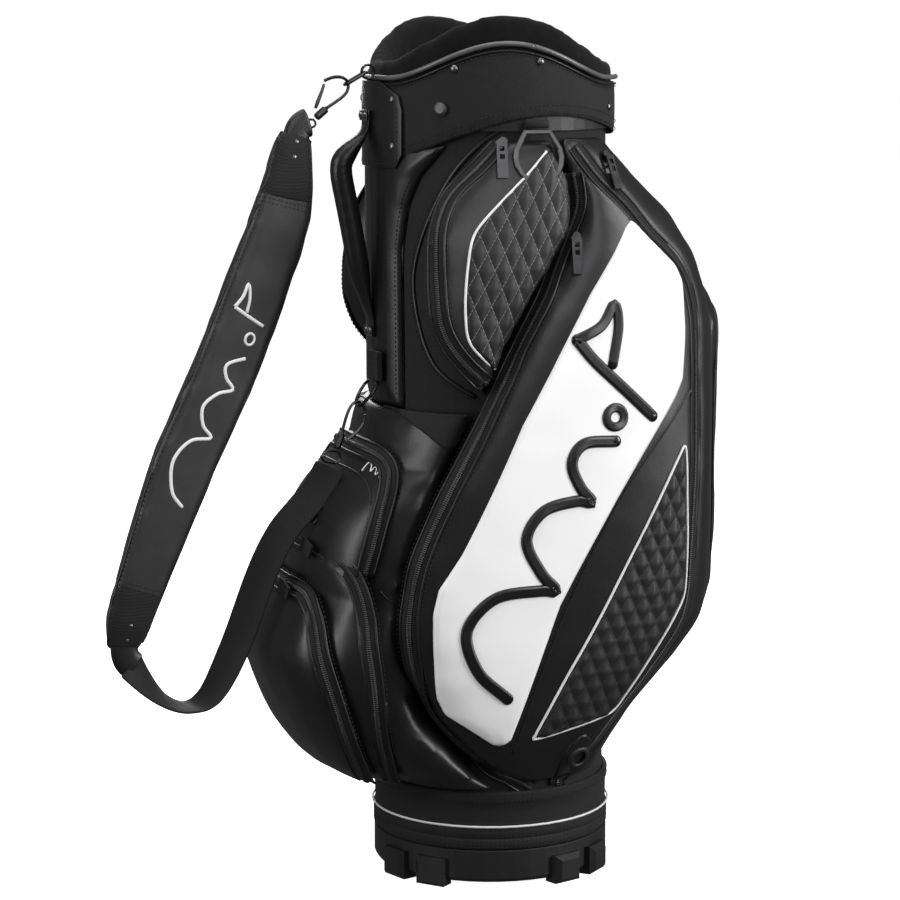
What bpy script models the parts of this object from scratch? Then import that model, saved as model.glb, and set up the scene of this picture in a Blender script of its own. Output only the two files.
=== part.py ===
"""Golf staff bag: tubular body, saddle-shaped collar, six-way top, pockets, handle and shoulder strap.

Metres, +Z up. The origin is the centre of the round rest pad under the base, on the floor.
-Y is the front (spine, lift handle, strap and ball pockets), +Y the back, +X and -X the two sides.
Angles run in degrees from +X towards +Y, so the spine stands at -90.
"""
import math

import bmesh
import bpy
import numpy
from mathutils import Matrix, Vector

# Driving dimensions
TOTAL_HEIGHT = 0.899
BASE_TOP = 0.040
BOOT_TOP = 0.1025
BOOT_RADIUS = 0.1248
SHELL_RADIUS = 0.1205
WALL = 0.003
SHELL_TOP = 0.8255
COLLAR_RADIUS = 0.1302
TAB_RADIUS = 0.1338
SPINE_RADIUS = 0.1295
GAP = 0.0006
ROUND_STEPS = 48

# Shoulder strap: it swings about the upright line through its two rings
STRAP_X, STRAP_Y = 0.0210, -0.1425
STRAP_REST_TURN = 10.0
WEBBING_WIDTH = 0.034

# Side pockets: half width, rearward reach and squareness of the section at each height
SIDE_REACH = ((0.105, 0.130), (0.130, 0.142), (0.180, 0.154), (0.270, 0.161), (0.420, 0.163),
              (0.560, 0.160), (0.660, 0.153), (0.730, 0.142), (0.785, 0.132))
REAR_REACH = ((0.105, 0.126), (0.146, 0.130), (0.178, 0.152), (0.210, 0.176), (0.236, 0.203),
              (0.270, 0.226), (0.330, 0.236), (0.450, 0.2375), (0.580, 0.236), (0.606, 0.231),
              (0.640, 0.222), (0.680, 0.207), (0.709, 0.180), (0.741, 0.152), (0.785, 0.130))
SIDE_POWER = ((0.105, 2.1), (0.180, 2.7), (0.300, 3.0), (0.600, 3.0), (0.720, 2.6), (0.785, 2.1))

# Front pockets: the same three values for the leather body under them
FRONT_HALF = ((0.105, 0.130), (0.130, 0.140), (0.170, 0.149), (0.250, 0.152), (0.350, 0.151),
              (0.420, 0.147), (0.470, 0.142), (0.510, 0.136))
FRONT_REACH = ((0.105, 0.134), (0.123, 0.162), (0.142, 0.180), (0.170, 0.200), (0.210, 0.217),
               (0.250, 0.229), (0.280, 0.222), (0.310, 0.206), (0.360, 0.200), (0.397, 0.186),
               (0.420, 0.165), (0.440, 0.148), (0.460, 0.139), (0.510, 0.133))
FRONT_POWER = ((0.105, 2.1), (0.160, 2.8), (0.360, 3.0), (0.450, 2.7), (0.510, 2.2))
VALUABLES_DEPTH = 0.0088
BALL_DEPTH = 0.014
ACCESSORY_DEPTH = 0.030
LAYER_GAP = 0.0047

# Outlines of the pockets and panels: height, then the angle of the edge
APPAREL_FRONT_EDGE = ((0.110, -13), (0.126, -24), (0.156, -36.4), (0.196, -45), (0.252, -47), (0.304, -47),
                      (0.361, -44.4), (0.421, -37.6), (0.490, -26.4), (0.568, -13), (0.637, 2.7),
                      (0.688, 15.9), (0.720, 18), (0.780, 12))
APPAREL_REAR_EDGE = ((0.110, 34), (0.146, 42), (0.178, 48), (0.229, 60), (0.270, 66), (0.606, 66),
                     (0.650, 64), (0.709, 61), (0.741, 54), (0.780, 40))
UPPER_FRONT_EDGE = ((0.528, -25), (0.540, -29), (0.565, -35), (0.591, -39), (0.620, -41), (0.698, -41.5),
                    (0.727, -38), (0.751, -31), (0.780, -19))
UPPER_REAR_EDGE = ((0.528, -22), (0.568, -15), (0.637, 1.0), (0.662, 8.5), (0.690, 14), (0.720, 16),
                   (0.780, 9.5))
PANEL_FRONT_EDGE = ((0.162, -19), (0.197, -36.4), (0.214, -38.1), (0.304, -37.6), (0.329, -36.4),
                    (0.364, -29.4), (0.492, -9.5), (0.620, 16), (0.690, 33.5))
PANEL_REAR_EDGE = ((0.162, -14.5), (0.306, 4), (0.514, 44), (0.530, 46.3), (0.630, 49.4), (0.645, 48),
                   (0.690, 36.2))
REAR_HALF_ANGLE = ((0.136, 13), (0.170, 18), (0.250, 21.5), (0.590, 21.5), (0.618, 18), (0.628, 12))
FRONT_HALF_ANGLE = ((0.108, 73), (0.126, 63), (0.156, 51.5), (0.196, 43), (0.252, 41), (0.304, 41),
                    (0.361, 43.6), (0.400, 47.5), (0.440, 52), (0.480, 58), (0.5025, 62))
VALUABLES_HALF_ANGLE = ((0.3765, 36.8), (0.427, 37.8), (0.446, 37), (0.458, 32), (0.464, 25), (0.467, 17))
BALL_HALF_ANGLE = ((0.112, 36), (0.202, 41.5), (0.272, 39.5), (0.304, 37.6), (0.332, 34.6), (0.349, 31.4),
                   (0.365, 25.3), (0.373, 15))
ACCESSORY_HALF_ANGLE = ((0.116, 30.7), (0.175, 33.6), (0.232, 31.4), (0.304, 26.1), (0.318, 23),
                        (0.327, 17), (0.330, 11))
SPINE_HALF_ANGLE = ((0.506, 21.5), (0.660, 21.5), (0.706, 26), (0.7435, 34))


def smooth(height, stations):
    """A value that runs smoothly through its stations (height, value)."""
    heights = [station[0] for station in stations]
    values = [station[1] for station in stations]
    if height <= heights[0]:
        return values[0]
    if height >= heights[-1]:
        return values[-1]
    index = max(i for i, start in enumerate(heights[:-1]) if start <= height)

    def slope(i):
        before, after = max(i - 1, 0), min(i + 1, len(heights) - 1)
        return (values[after] - values[before]) / (heights[after] - heights[before])

    span = heights[index + 1] - heights[index]
    t = (height - heights[index]) / span
    return ((2 * t**3 - 3 * t**2 + 1) * values[index] + (t**3 - 2 * t**2 + t) * span * slope(index)
            + (3 * t**2 - 2 * t**3) * values[index + 1] + (t**3 - t**2) * span * slope(index + 1))


def straight(height, stations):
    """A value that runs in straight lines between its stations."""
    return float(numpy.interp(height, [s[0] for s in stations], [s[1] for s in stations]))


def squared_round(angle, half_width, reach, power):
    """Radius of a rounded-rectangle section at an angle."""
    turn = math.radians(angle)
    across = (abs(math.cos(turn)) / half_width) ** power
    along = (abs(math.sin(turn)) / reach) ** power
    return (across + along) ** (-1 / power)


def side_radius(angle, height):
    """Outer surface of the side and rear pockets."""
    return squared_round(angle, smooth(height, SIDE_REACH), smooth(height, REAR_REACH),
                         smooth(height, SIDE_POWER))


def front_radius(angle, height):
    """Leather surface under the front pockets."""
    return squared_round(angle, smooth(height, FRONT_HALF), smooth(height, FRONT_REACH),
                         smooth(height, FRONT_POWER))


def saddle(angle, half_span):
    """The collar's two humps, 1 at their tops, which stand 12 degrees forward of each side."""
    rise = 0.0
    for top in (-12, -168):
        away = abs((angle - top + 180) % 360 - 180)
        if away < half_span:
            rise += 0.5 + 0.5 * math.cos(math.pi * away / half_span)
    return rise


def band_bottom(angle):
    """Height of the collar band's lower edge."""
    turn = math.radians(angle)
    return 0.7774 + 0.0141 * math.sin(turn) + 0.0183 * math.cos(2 * turn)


def piping_height(angle):
    return 0.836 + 0.035 * saddle(angle, 60)


def rim_height(angle):
    return 0.852 + (TOTAL_HEIGHT - 0.852) * saddle(angle, 75)


def polar(angle, radius, height):
    turn = math.radians(angle)
    return Vector((radius * math.cos(turn), radius * math.sin(turn), height))


def angle_of(point):
    return math.degrees(math.atan2(point.y, point.x))


def finish(name, colour, roughness, metallic=0.0):
    material = bpy.data.materials.new(name)
    material.use_nodes = True
    shader = material.node_tree.nodes["Principled BSDF"]
    shader.inputs["Base Color"].default_value = (*colour, 1.0)
    shader.inputs["Roughness"].default_value = roughness
    shader.inputs["Metallic"].default_value = metallic
    return material


def add_object(name, bm, material, place=None):
    bmesh.ops.recalc_face_normals(bm, faces=bm.faces[:])
    mesh = bpy.data.meshes.new(name)
    bm.to_mesh(mesh)
    bm.free()
    mesh.materials.append(material)
    mesh.shade_smooth()
    mesh.set_sharp_from_angle(angle=math.radians(35))
    return place_mesh(name, mesh, place)


def place_mesh(name, mesh, place=None):
    item = bpy.data.objects.new(name, mesh)
    if place:
        item.matrix_world = place
    bpy.context.collection.objects.link(item)
    return item


def sides_of(name):
    """The right-hand piece and its mirrored twin on the left."""
    return ((name + "_right", 1), (name + "_left", -1))


def wrapped_block(name, edges, outer, inner, columns, rows, material, side=1):
    """A block wrapped round the body between two edges, from its inner to its outer radius."""
    left, right = edges
    low, high = left[0][0], left[-1][0]
    bm = bmesh.new()
    sheet = bmesh.ops.create_grid(bm, x_segments=columns, y_segments=rows, size=1.0)
    for vert in sheet["verts"]:
        across, up = (vert.co.x + 1) / 2, (vert.co.y + 1) / 2
        height = low + (high - low) * up
        angle = straight(height, left) * (1 - across) + straight(height, right) * across
        vert.co = polar(angle, outer(angle, height), height)
    back = bmesh.ops.extrude_face_region(bm, geom=bm.faces[:])
    for vert in [item for item in back["geom"] if isinstance(item, bmesh.types.BMVert)]:
        angle, height = angle_of(vert.co), vert.co.z
        vert.co = polar(angle, inner(angle, height), height)
    bmesh.ops.scale(bm, vec=(side, 1, 1), verts=bm.verts[:])
    return add_object(name, bm, material)


def front_edges(half_angles):
    """Edges of a block centred on the spine line."""
    return ([(height, -90 - half) for height, half in half_angles],
            [(height, -90 + half) for height, half in half_angles])


def loft(name, sections, material, closed=False):
    """Skin over a run of sections with the same number of points."""
    bm = bmesh.new()
    loops = []
    for section in sections:
        verts = [bm.verts.new(point) for point in section]
        loops.append([bm.edges.new((verts[i - 1], verts[i])) for i in range(len(verts))])
    pairs = list(zip(loops[:-1], loops[1:]))
    if closed:
        pairs.append((loops[-1], loops[0]))
    for one, other in pairs:
        bmesh.ops.bridge_loops(bm, edges=one + other)
    if not closed:
        for end in (loops[0], loops[-1]):
            bmesh.ops.contextual_create(bm, geom=end)
    return add_object(name, bm, material)


def turned_ring(name, section, material, steps=ROUND_STEPS):
    """A ring about the Z axis; section(angle) gives its outline as (radius, height)."""
    angles = [360 * i / steps for i in range(steps)]
    return loft(name, [[polar(a, r, z) for r, z in section(a)] for a in angles], material, closed=True)


def curve_through(points, steps):
    """Points along a smooth curve through hand-placed ones."""
    knots = [points[0]] + list(points) + [points[-1]]
    path = []
    for a, b, c, d in zip(knots, knots[1:], knots[2:], knots[3:]):
        for i in range(steps):
            t = i / steps
            path.append(0.5 * (2 * b + (c - a) * t + (2 * a - 5 * b + 4 * c - d) * t**2
                               + (3 * b - a - 3 * c + d) * t**3))
    return path + [Vector(points[-1])]


def loop_through(points, steps):
    """The same, round a closed loop."""
    count = len(points)
    path = []
    for i in range(count):
        a, b, c, d = (points[(i + k) % count] for k in (-1, 0, 1, 2))
        for j in range(steps):
            t = j / steps
            path.append(0.5 * (2 * b + (c - a) * t + (2 * a - 5 * b + 4 * c - d) * t**2
                               + (3 * b - a - 3 * c + d) * t**3))
    return path


def sweep(name, path, across, outline, material, closed=False):
    """An outline carried along a path; across(i) is its width direction, outline(i) its (width, depth)."""
    sections = []
    count = len(path)
    for i, point in enumerate(path):
        before = path[i - 1] if i or closed else path[0]
        after = path[(i + 1) % count] if i < count - 1 or closed else path[-1]
        along = (after - before).normalized()
        wide = across(i) - along * across(i).dot(along)
        wide.normalize()
        deep = along.cross(wide)
        sections.append([point + wide * w + deep * d for w, d in outline(i)])
    return loft(name, sections, material, closed)


def round_outline(radius, sides=8):
    return [(radius * math.cos(2 * math.pi * k / sides), radius * math.sin(2 * math.pi * k / sides))
            for k in range(sides)]


def flat_outline(width, thickness, chamfer):
    """A strip with bevelled edges."""
    w, t = width / 2, thickness / 2
    return [(-w + chamfer, -t), (w - chamfer, -t), (w, -t + chamfer), (w, t - chamfer),
            (w - chamfer, t), (-w + chamfer, t), (-w, t - chamfer), (-w, -t + chamfer)]


def box(bm, low, high):
    middle = [(a + b) / 2 for a, b in zip(low, high)]
    size = [b - a for a, b in zip(low, high)]
    bmesh.ops.create_cube(bm, size=1.0, matrix=Matrix.Translation(middle) @ Matrix.Diagonal((*size, 1)))


def join_with(target, name, bm):
    """Boolean union of a guide mesh into the target."""
    mesh = bpy.data.meshes.new(name)
    bm.to_mesh(mesh)
    bm.free()
    guide = bpy.data.objects.new(name, mesh)
    guide.hide_render = True
    guide.display_type = "WIRE"
    bpy.context.collection.objects.link(guide)
    union = target.modifiers.new(name, "BOOLEAN")
    union.operation = "UNION"
    union.object = guide


def turned_button(name, radius, height, dome, place, material, steps=16):
    """A stud or rivet head turned about its own Z, standing on its own origin."""
    bm = bmesh.new()
    bmesh.ops.create_circle(bm, cap_ends=True, radius=radius, segments=steps)
    up = bmesh.ops.extrude_face_region(bm, geom=bm.faces[:])
    rim = [item for item in up["geom"] if isinstance(item, bmesh.types.BMVert)]
    bmesh.ops.translate(bm, vec=(0, 0, height), verts=rim)
    top = [face for face in bm.faces if all(vert in rim for vert in face.verts)]
    bmesh.ops.inset_region(bm, faces=top, thickness=radius * 0.35)
    lifted = {vert for face in top for vert in face.verts}
    bmesh.ops.translate(bm, vec=(0, 0, dome), verts=list(lifted))
    return add_object(name, bm, material, place)


def facing(point, outward, up=Vector((0, 0, 1))):
    """Placement whose Z looks outward and whose Y leans up."""
    z = outward.normalized()
    x = up.cross(z).normalized()
    y = z.cross(x)
    return Matrix.Translation(point) @ Matrix((x, y, z)).transposed().to_4x4()


def windowed_plate(bm, columns, rows, holes, thickness):
    """A flat plate of cells centred on X, hung from its top edge at the origin, with open windows."""
    xs, ys = [sum(columns[:i]) - sum(columns) / 2 for i in range(len(columns) + 1)], [0.0]
    for step in rows:
        ys.append(ys[-1] - step)
    grid = [[bm.verts.new((x, y, 0)) for x in xs] for y in ys]
    for row in range(len(rows)):
        for column in range(len(columns)):
            if (column, row) not in holes:
                bm.faces.new((grid[row][column], grid[row][column + 1],
                              grid[row + 1][column + 1], grid[row + 1][column]))
    lift = bmesh.ops.extrude_face_region(bm, geom=bm.faces[:])
    bmesh.ops.translate(bm, vec=(0, 0, thickness),
                        verts=[item for item in lift["geom"] if isinstance(item, bmesh.types.BMVert)])


for leftover in list(bpy.data.objects):
    bpy.data.objects.remove(leftover, do_unlink=True)

LEATHER = finish("black_leather", (0.020, 0.020, 0.022), 0.42)
NYLON = finish("black_nylon", (0.012, 0.012, 0.013), 0.75)
VELOUR = finish("black_velour", (0.010, 0.010, 0.011), 0.95)
WHITE = finish("white_leather", (0.86, 0.86, 0.87), 0.45)
PLASTIC = finish("black_plastic", (0.018, 0.018, 0.020), 0.50)
METAL = finish("gunmetal", (0.10, 0.10, 0.11), 0.35, 1.0)
GREY = finish("grey_trim", (0.09, 0.09, 0.10), 0.50)
ROD = finish("fibreglass_rod", (0.55, 0.52, 0.42), 0.55)


# Base, boot and body

def base_section(_angle):
    """Cup with a floor, a ledge for the shell and an underside that clears the ground."""
    return ((0.1225, 0.006), (0.1250, 0.010), (0.1250, BASE_TOP - 0.001), (0.1240, BASE_TOP),
            (0.1130, BASE_TOP), (0.1120, BASE_TOP - 0.001), (0.1120, 0.012), (0.0450, 0.012),
            (0.0450, 0.0), (0.0520, 0.0), (0.0540, 0.006))


base = turned_ring("base_cup", base_section, PLASTIC)
pad = bmesh.new()
bmesh.ops.create_cone(pad, cap_ends=True, segments=ROUND_STEPS, radius1=0.048, radius2=0.048, depth=0.012,
                      matrix=Matrix.Translation((0, 0, 0.006)))
join_with(base, "rest_pad", pad)
LUG_ANGLES = [corner + offset for corner in (30, 120, 210, 300) for offset in (-11, 11)]
for number, lug_angle in enumerate(LUG_ANGLES, 1):
    lug = bmesh.new()
    box(lug, (0.1135, -0.0165, 0.0), (0.1345, 0.0165, 0.030))
    bevelled = [edge for edge in lug.edges if all(vert.co.x > 0.13 for vert in edge.verts)]
    bmesh.ops.bevel(lug, geom=bevelled, offset=0.005, segments=1, affect="EDGES", profile=0.5, material=-1)
    bmesh.ops.rotate(lug, matrix=Matrix.Rotation(math.radians(lug_angle), 3, "Z"), verts=lug.verts[:])
    join_with(base, f"lug_{number}", lug)


def tube_section(inside, outside, low, high):
    return lambda _angle: ((inside, low), (outside, low), (outside, high), (inside, high))


turned_ring("body_shell", tube_section(SHELL_RADIUS - WALL, SHELL_RADIUS, BASE_TOP + GAP, SHELL_TOP), PLASTIC)
turned_ring("boot_sleeve", tube_section(SHELL_RADIUS + GAP, BOOT_RADIUS, BASE_TOP + GAP, BOOT_TOP), NYLON)


def boot_piping_section(_angle):
    radius = 0.0012
    return [(BOOT_RADIUS + GAP + radius + r, 0.066 + z) for r, z in round_outline(radius, 6)]


turned_ring("boot_piping", boot_piping_section, WHITE)

# Inside: stays, full-length dividers and the moulded six-way top
STAY_RADIUS = 0.1078
cage = turned_ring("stay_cage", tube_section(STAY_RADIUS - 0.0015, STAY_RADIUS + 0.0015, 0.400, 0.412), ROD)
for number, rod_angle in enumerate((30, 150, 270), 1):
    stay = bmesh.new()
    bmesh.ops.create_cone(stay, cap_ends=True, segments=10, radius1=0.003, radius2=0.003, depth=0.782,
                          matrix=Matrix.Translation(polar(rod_angle, STAY_RADIUS, 0.0135 + 0.391)))
    join_with(cage, f"stay_rod_{number}", stay)

WELL_BAR_Y = 0.036


def cross_walls(name, half_thickness, reach, low, high, material):
    """One wall front to back and two across it."""
    bm = bmesh.new()
    box(bm, (-half_thickness, -reach, low), (half_thickness, reach, high))
    walls = add_object(name, bm, material)
    add_cross_bars(walls, name, half_thickness, reach, low, high)


def add_cross_bars(target, name, half_thickness, reach, low, high):
    across = math.sqrt(reach**2 - (WELL_BAR_Y + half_thickness) ** 2)
    for bar, y in (("front", -WELL_BAR_Y), ("rear", WELL_BAR_Y)):
        bm = bmesh.new()
        box(bm, (-across, y - half_thickness, low), (across, y + half_thickness, high))
        join_with(target, f"{name}_{bar}_bar", bm)


cross_walls("divider_sleeves", 0.001, 0.1035, 0.0135, 0.7965, NYLON)
head = turned_ring("divider_head", tube_section(0.1085, 0.1165, 0.798, 0.8205), PLASTIC)
spine_bar = bmesh.new()
box(spine_bar, (-0.004, -0.112, 0.799), (0.004, 0.112, 0.8195))
join_with(head, "head_long_bar", spine_bar)
add_cross_bars(head, "head", 0.004, 0.1135, 0.7995, 0.819)

# Collar
turned_ring("collar_ring", tube_section(SHELL_RADIUS + 0.0005, 0.1252, 0.784, SHELL_TOP), PLASTIC)


def band_section(angle):
    low, high = band_bottom(angle), piping_height(angle) - 0.0036
    return ((0.1262, low), (COLLAR_RADIUS, low), (COLLAR_RADIUS, high), (0.1262, high))


def piping_section(angle):
    return [(0.1292 + r, piping_height(angle) + z) for r, z in round_outline(0.0028)]


def rim_section(angle):
    """A padded roll: flat underneath, rounded over the top."""
    top = rim_height(angle)
    return ((0.104, 0.8262), (0.1252, 0.8262), (0.1252, top - 0.010), (0.1235, top - 0.003),
            (0.1190, top), (0.1120, top - 0.001), (0.1060, top - 0.006), (0.104, top - 0.014))


turned_ring("collar_band", band_section, NYLON)
turned_ring("collar_piping", piping_section, GREY)
turned_ring("rim_padding", rim_section, VELOUR)

SHELL_CLEAR = SHELL_RADIUS + 0.0026


def against_shell(_angle, _height):
    return SHELL_CLEAR


def at_radius(radius):
    return lambda _angle, _height: radius


wrapped_block("spine_panel", front_edges(SPINE_HALF_ANGLE), at_radius(SPINE_RADIUS), against_shell,
              8, 8, LEATHER)
TAB_HALF_ANGLE = ((0.745, 24), (0.750, 28), (0.816, 28), (0.8325, 12))
wrapped_block("shoulder_tab", front_edges(TAB_HALF_ANGLE), at_radius(TAB_RADIUS),
              at_radius(COLLAR_RADIUS + 0.0018), 10, 6, LEATHER)

# Pockets
for piece, hand in sides_of("apparel_pocket"):
    wrapped_block(piece, (APPAREL_FRONT_EDGE, APPAREL_REAR_EDGE), side_radius, against_shell,
                  12, 17, LEATHER, hand)
for piece, hand in sides_of("upper_pocket"):
    wrapped_block(piece, (UPPER_FRONT_EDGE, UPPER_REAR_EDGE), side_radius, against_shell,
                  8, 10, NYLON, hand)


def panel_face(angle, height):
    return side_radius(angle, height) + 0.0030


def panel_back(angle, height):
    return side_radius(angle, height) + 0.0012


for piece, hand in sides_of("white_panel"):
    wrapped_block(piece, (PANEL_FRONT_EDGE, PANEL_REAR_EDGE), panel_face, panel_back, 8, 16, WHITE, hand)

REAR_EDGES = ([(height, 90 - half) for height, half in REAR_HALF_ANGLE],
              [(height, 90 + half) for height, half in REAR_HALF_ANGLE])
wrapped_block("rear_pocket", REAR_EDGES, side_radius, against_shell, 8, 12, LEATHER)


def front_layer(depth):
    return lambda angle, height: front_radius(angle, height) + depth


wrapped_block("front_body", front_edges(FRONT_HALF_ANGLE), front_radius, against_shell, 12, 20, LEATHER)
wrapped_block("valuables_pocket", front_edges(VALUABLES_HALF_ANGLE), front_layer(VALUABLES_DEPTH),
              front_layer(LAYER_GAP), 10, 6, LEATHER)
wrapped_block("ball_pocket", front_edges(BALL_HALF_ANGLE), front_layer(BALL_DEPTH), front_layer(LAYER_GAP),
              10, 14, LEATHER)
wrapped_block("accessory_pocket", front_edges(ACCESSORY_HALF_ANGLE), front_layer(ACCESSORY_DEPTH),
              front_layer(BALL_DEPTH + LAYER_GAP), 10, 12, LEATHER)

# Lift handle: a padded bar with a flat tongue at each end
HANDLE_ROUTE = [Vector((0, y, z)) for y, z in (
    (-0.1360, 0.803), (-0.1362, 0.787), (-0.1405, 0.776), (-0.1520, 0.764), (-0.1615, 0.751),
    (-0.1625, 0.737), (-0.1590, 0.718), (-0.1525, 0.685), (-0.1462, 0.650), (-0.1405, 0.620),
    (-0.1355, 0.600), (-0.1322, 0.585), (-0.1318, 0.569))]
HANDLE_RADIUS = 0.0095
HANDLE_STEPS = 2
TONGUE = (0.0125, 0.0016)
handle_path = curve_through(HANDLE_ROUTE, HANDLE_STEPS)


def handle_outline(index):
    """Round in the hand, flat under the rivets."""
    from_end = min(index, len(handle_path) - 1 - index) / HANDLE_STEPS
    swell = min(max(from_end - 1.0, 0.0) / 2.6, 1.0)
    half_width = TONGUE[0] + (HANDLE_RADIUS - TONGUE[0]) * swell
    half_depth = TONGUE[1] + (HANDLE_RADIUS - TONGUE[1]) * swell
    return [(half_width * w, half_depth * d) for w, d in round_outline(1.0, 10)]


sweep("lift_handle", handle_path, lambda _i: Vector((1, 0, 0)), handle_outline, LEATHER)
RIVET_X = 0.0065
PLATE_THICK = 0.0008
for piece, y, z in (("handle_rivets_top", -0.1381, 0.797), ("handle_rivets_bottom", -0.1339, 0.575)):
    strip = bmesh.new()
    box(strip, (-0.0115, y - PLATE_THICK, z - 0.005), (0.0115, y, z + 0.005))
    plate = add_object(piece, strip, METAL)
    for hand in (-1, 1):
        head_mesh = bmesh.new()
        bmesh.ops.create_cone(head_mesh, cap_ends=True, segments=12, radius1=0.0042, radius2=0.0030,
                              depth=0.002,
                              matrix=facing(Vector((hand * RIVET_X, y - 0.0014, z)), Vector((0, -1, 0))))
        join_with(plate, f"{piece}_head_{hand}", head_mesh)
for piece, stud_angle in (("hood_stud_right", -42), ("hood_stud_left", -138)):
    turned_button(piece, 0.0068, 0.0030, 0.0012,
                  facing(polar(stud_angle, COLLAR_RADIUS + GAP, 0.806), polar(stud_angle, 1, 0)), METAL)

# Towel ring: a flat D hung from a webbing loop on the right-hand side
TOWEL_PIVOT = Vector((0.1385, 0.0, 0.7835))
towel_loop = bmesh.new()
box(towel_loop, (0.1335, -0.0130, 0.7868), (0.1405, 0.0130, 0.7960))
add_object("towel_loop", towel_loop, NYLON)
RING_HALF_WIDTH = 0.0245
RING_DROP = 0.0500
RING_LEAN = 0.0080


def towel_ring_point(sideways, down):
    lean = RING_LEAN * down / RING_DROP
    return Vector((TOWEL_PIVOT.x + lean, sideways, TOWEL_PIVOT.z - down))


ring_arc = [towel_ring_point(RING_HALF_WIDTH * math.sin(math.radians(a)),
                             0.0255 + RING_HALF_WIDTH * -math.cos(math.radians(a)))
            for a in range(50, 311, 20)]
ring_path = [towel_ring_point(s, 0.0) for s in (-0.013, 0.0, 0.013)] + ring_arc


def towel_ring_outline(_index):
    return flat_outline(0.0040, 0.0055, 0.0012)


sweep("towel_ring", ring_path, lambda _i: Vector((1, 0, 0.16)), towel_ring_outline, METAL, closed=True)


# Zip sliders and pullers
def surface_frame(radius_of, angle, height):
    """Point, outward normal and upward direction on a pocket's surface."""
    step = 0.002
    point = polar(angle, radius_of(angle, height), height)
    above = polar(angle, radius_of(angle, height + step), height + step) - point
    turn = math.degrees(step / radius_of(angle, height))
    beside = polar(angle + turn, radius_of(angle + turn, height), height) - point
    return point, beside.cross(above).normalized(), above.normalized()


SLIDER_CLEAR = 0.0016
SLIDER_THICK = 0.0040


def zip_run(radius_of, start, end):
    """Where a slider's underside sits at each end of its straight run."""
    ends = []
    for angle, height in (start, end):
        point, outward, _up = surface_frame(radius_of, angle, height)
        ends.append(point + outward * SLIDER_CLEAR)
    return ends


def slider_mesh():
    bm = bmesh.new()
    box(bm, (-0.0045, -0.0065, 0.0), (0.0045, 0.0065, SLIDER_THICK))
    bmesh.ops.bevel(bm, geom=[e for e in bm.edges if abs(e.verts[0].co.z - e.verts[1].co.z) > 0.001],
                    offset=0.0025, segments=1, affect="EDGES", profile=0.5, material=-1)
    mesh = bpy.data.meshes.new("slider")
    bmesh.ops.recalc_face_normals(bm, faces=bm.faces[:])
    bm.to_mesh(mesh)
    bm.free()
    mesh.materials.append(METAL)
    return mesh


def puller_mesh(name, columns, rows, holes, thickness, material):
    bm = bmesh.new()
    windowed_plate(bm, columns, rows, holes, thickness)
    bmesh.ops.recalc_face_normals(bm, faces=bm.faces[:])
    mesh = bpy.data.meshes.new(name)
    bm.to_mesh(mesh)
    bm.free()
    mesh.materials.append(material)
    return mesh


SLIDER = slider_mesh()
METAL_PULLER = puller_mesh("metal_puller", (0.003, 0.005, 0.003), (0.004, 0.005, 0.003, 0.005, 0.019),
                           {(1, 1), (1, 3)}, 0.0018, METAL)
WEB_PULLER = puller_mesh("web_puller", (0.0135,), (0.030,), set(), 0.0022, NYLON)


def add_zip(name, radius_of, start, end, hang, puller, hand=1):
    """A slider lying along its run and a puller hinged at the slider's face."""
    first, last = zip_run(radius_of, start, end)
    _point, outward, _up = surface_frame(radius_of, *start)
    mirror = Matrix.Diagonal((hand, 1, 1, 1))
    along = (last - first).normalized()
    first, outward, along = (mirror @ first, mirror.to_3x3() @ outward, mirror.to_3x3() @ along)
    place_mesh(name + "_slider", SLIDER, facing(first, outward, along))
    drop = mirror.to_3x3() @ hang
    lift = first + outward * (SLIDER_THICK + 0.0006)
    place_mesh(name + "_puller", puller, facing(lift, outward, -drop))


DOWN = Vector((0, 0, -1))
for piece, hand in (("right", 1), ("left", -1)):
    add_zip(f"upper_zip_{piece}", side_radius, (-15.5, 0.772), (-33, 0.736), DOWN, METAL_PULLER, hand)
    add_zip(f"apparel_zip_{piece}", side_radius, (13.0, 0.677), (-0.5, 0.625), DOWN, METAL_PULLER, hand)
add_zip("rear_zip_right", side_radius, (33, 0.756), (42, 0.712), DOWN, METAL_PULLER)
ALONG_FRONT = Vector((1.0, 0.18, -0.25))
add_zip("ball_zip", front_layer(BALL_DEPTH), (-80, 0.362), (-104, 0.362), ALONG_FRONT, WEB_PULLER)
add_zip("accessory_zip", front_layer(ACCESSORY_DEPTH), (-83, 0.320), (-102, 0.320), ALONG_FRONT, WEB_PULLER)

# Umbrella eyelet
EYELET_ANGLE, EYELET_HEIGHT = 17.5, 0.140
eyelet_point, eyelet_out, eyelet_up = surface_frame(side_radius, EYELET_ANGLE, EYELET_HEIGHT)
eyelet_place = facing(eyelet_point + eyelet_out * 0.0022, eyelet_out)
eyelet_steps = 20
loft("umbrella_eyelet",
     [[eyelet_place @ Vector((r * math.cos(t), r * math.sin(t), h))
       for r, h in ((0.0075, 0.0), (0.0135, 0.0), (0.0135, 0.0020), (0.0110, 0.0040), (0.0085, 0.0040),
                    (0.0075, 0.0030))]
      for t in [2 * math.pi * k / eyelet_steps for k in range(eyelet_steps)]], PLASTIC, closed=True)

# Shoulder strap, drawn in its own upright plane: distance out from the swing line, then height
SWING = math.radians(STRAP_REST_TURN)
STRAP_OUT = Vector((math.sin(SWING), -math.cos(SWING), 0))
STRAP_SIDE = Vector((math.cos(SWING), math.sin(SWING), 0))


def strap_point(out, height, side=0.0):
    return Vector((STRAP_X, STRAP_Y, height)) + STRAP_OUT * out + STRAP_SIDE * side


def strap_path(stations, steps):
    return curve_through([strap_point(out, height) for out, height in stations], steps)


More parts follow.
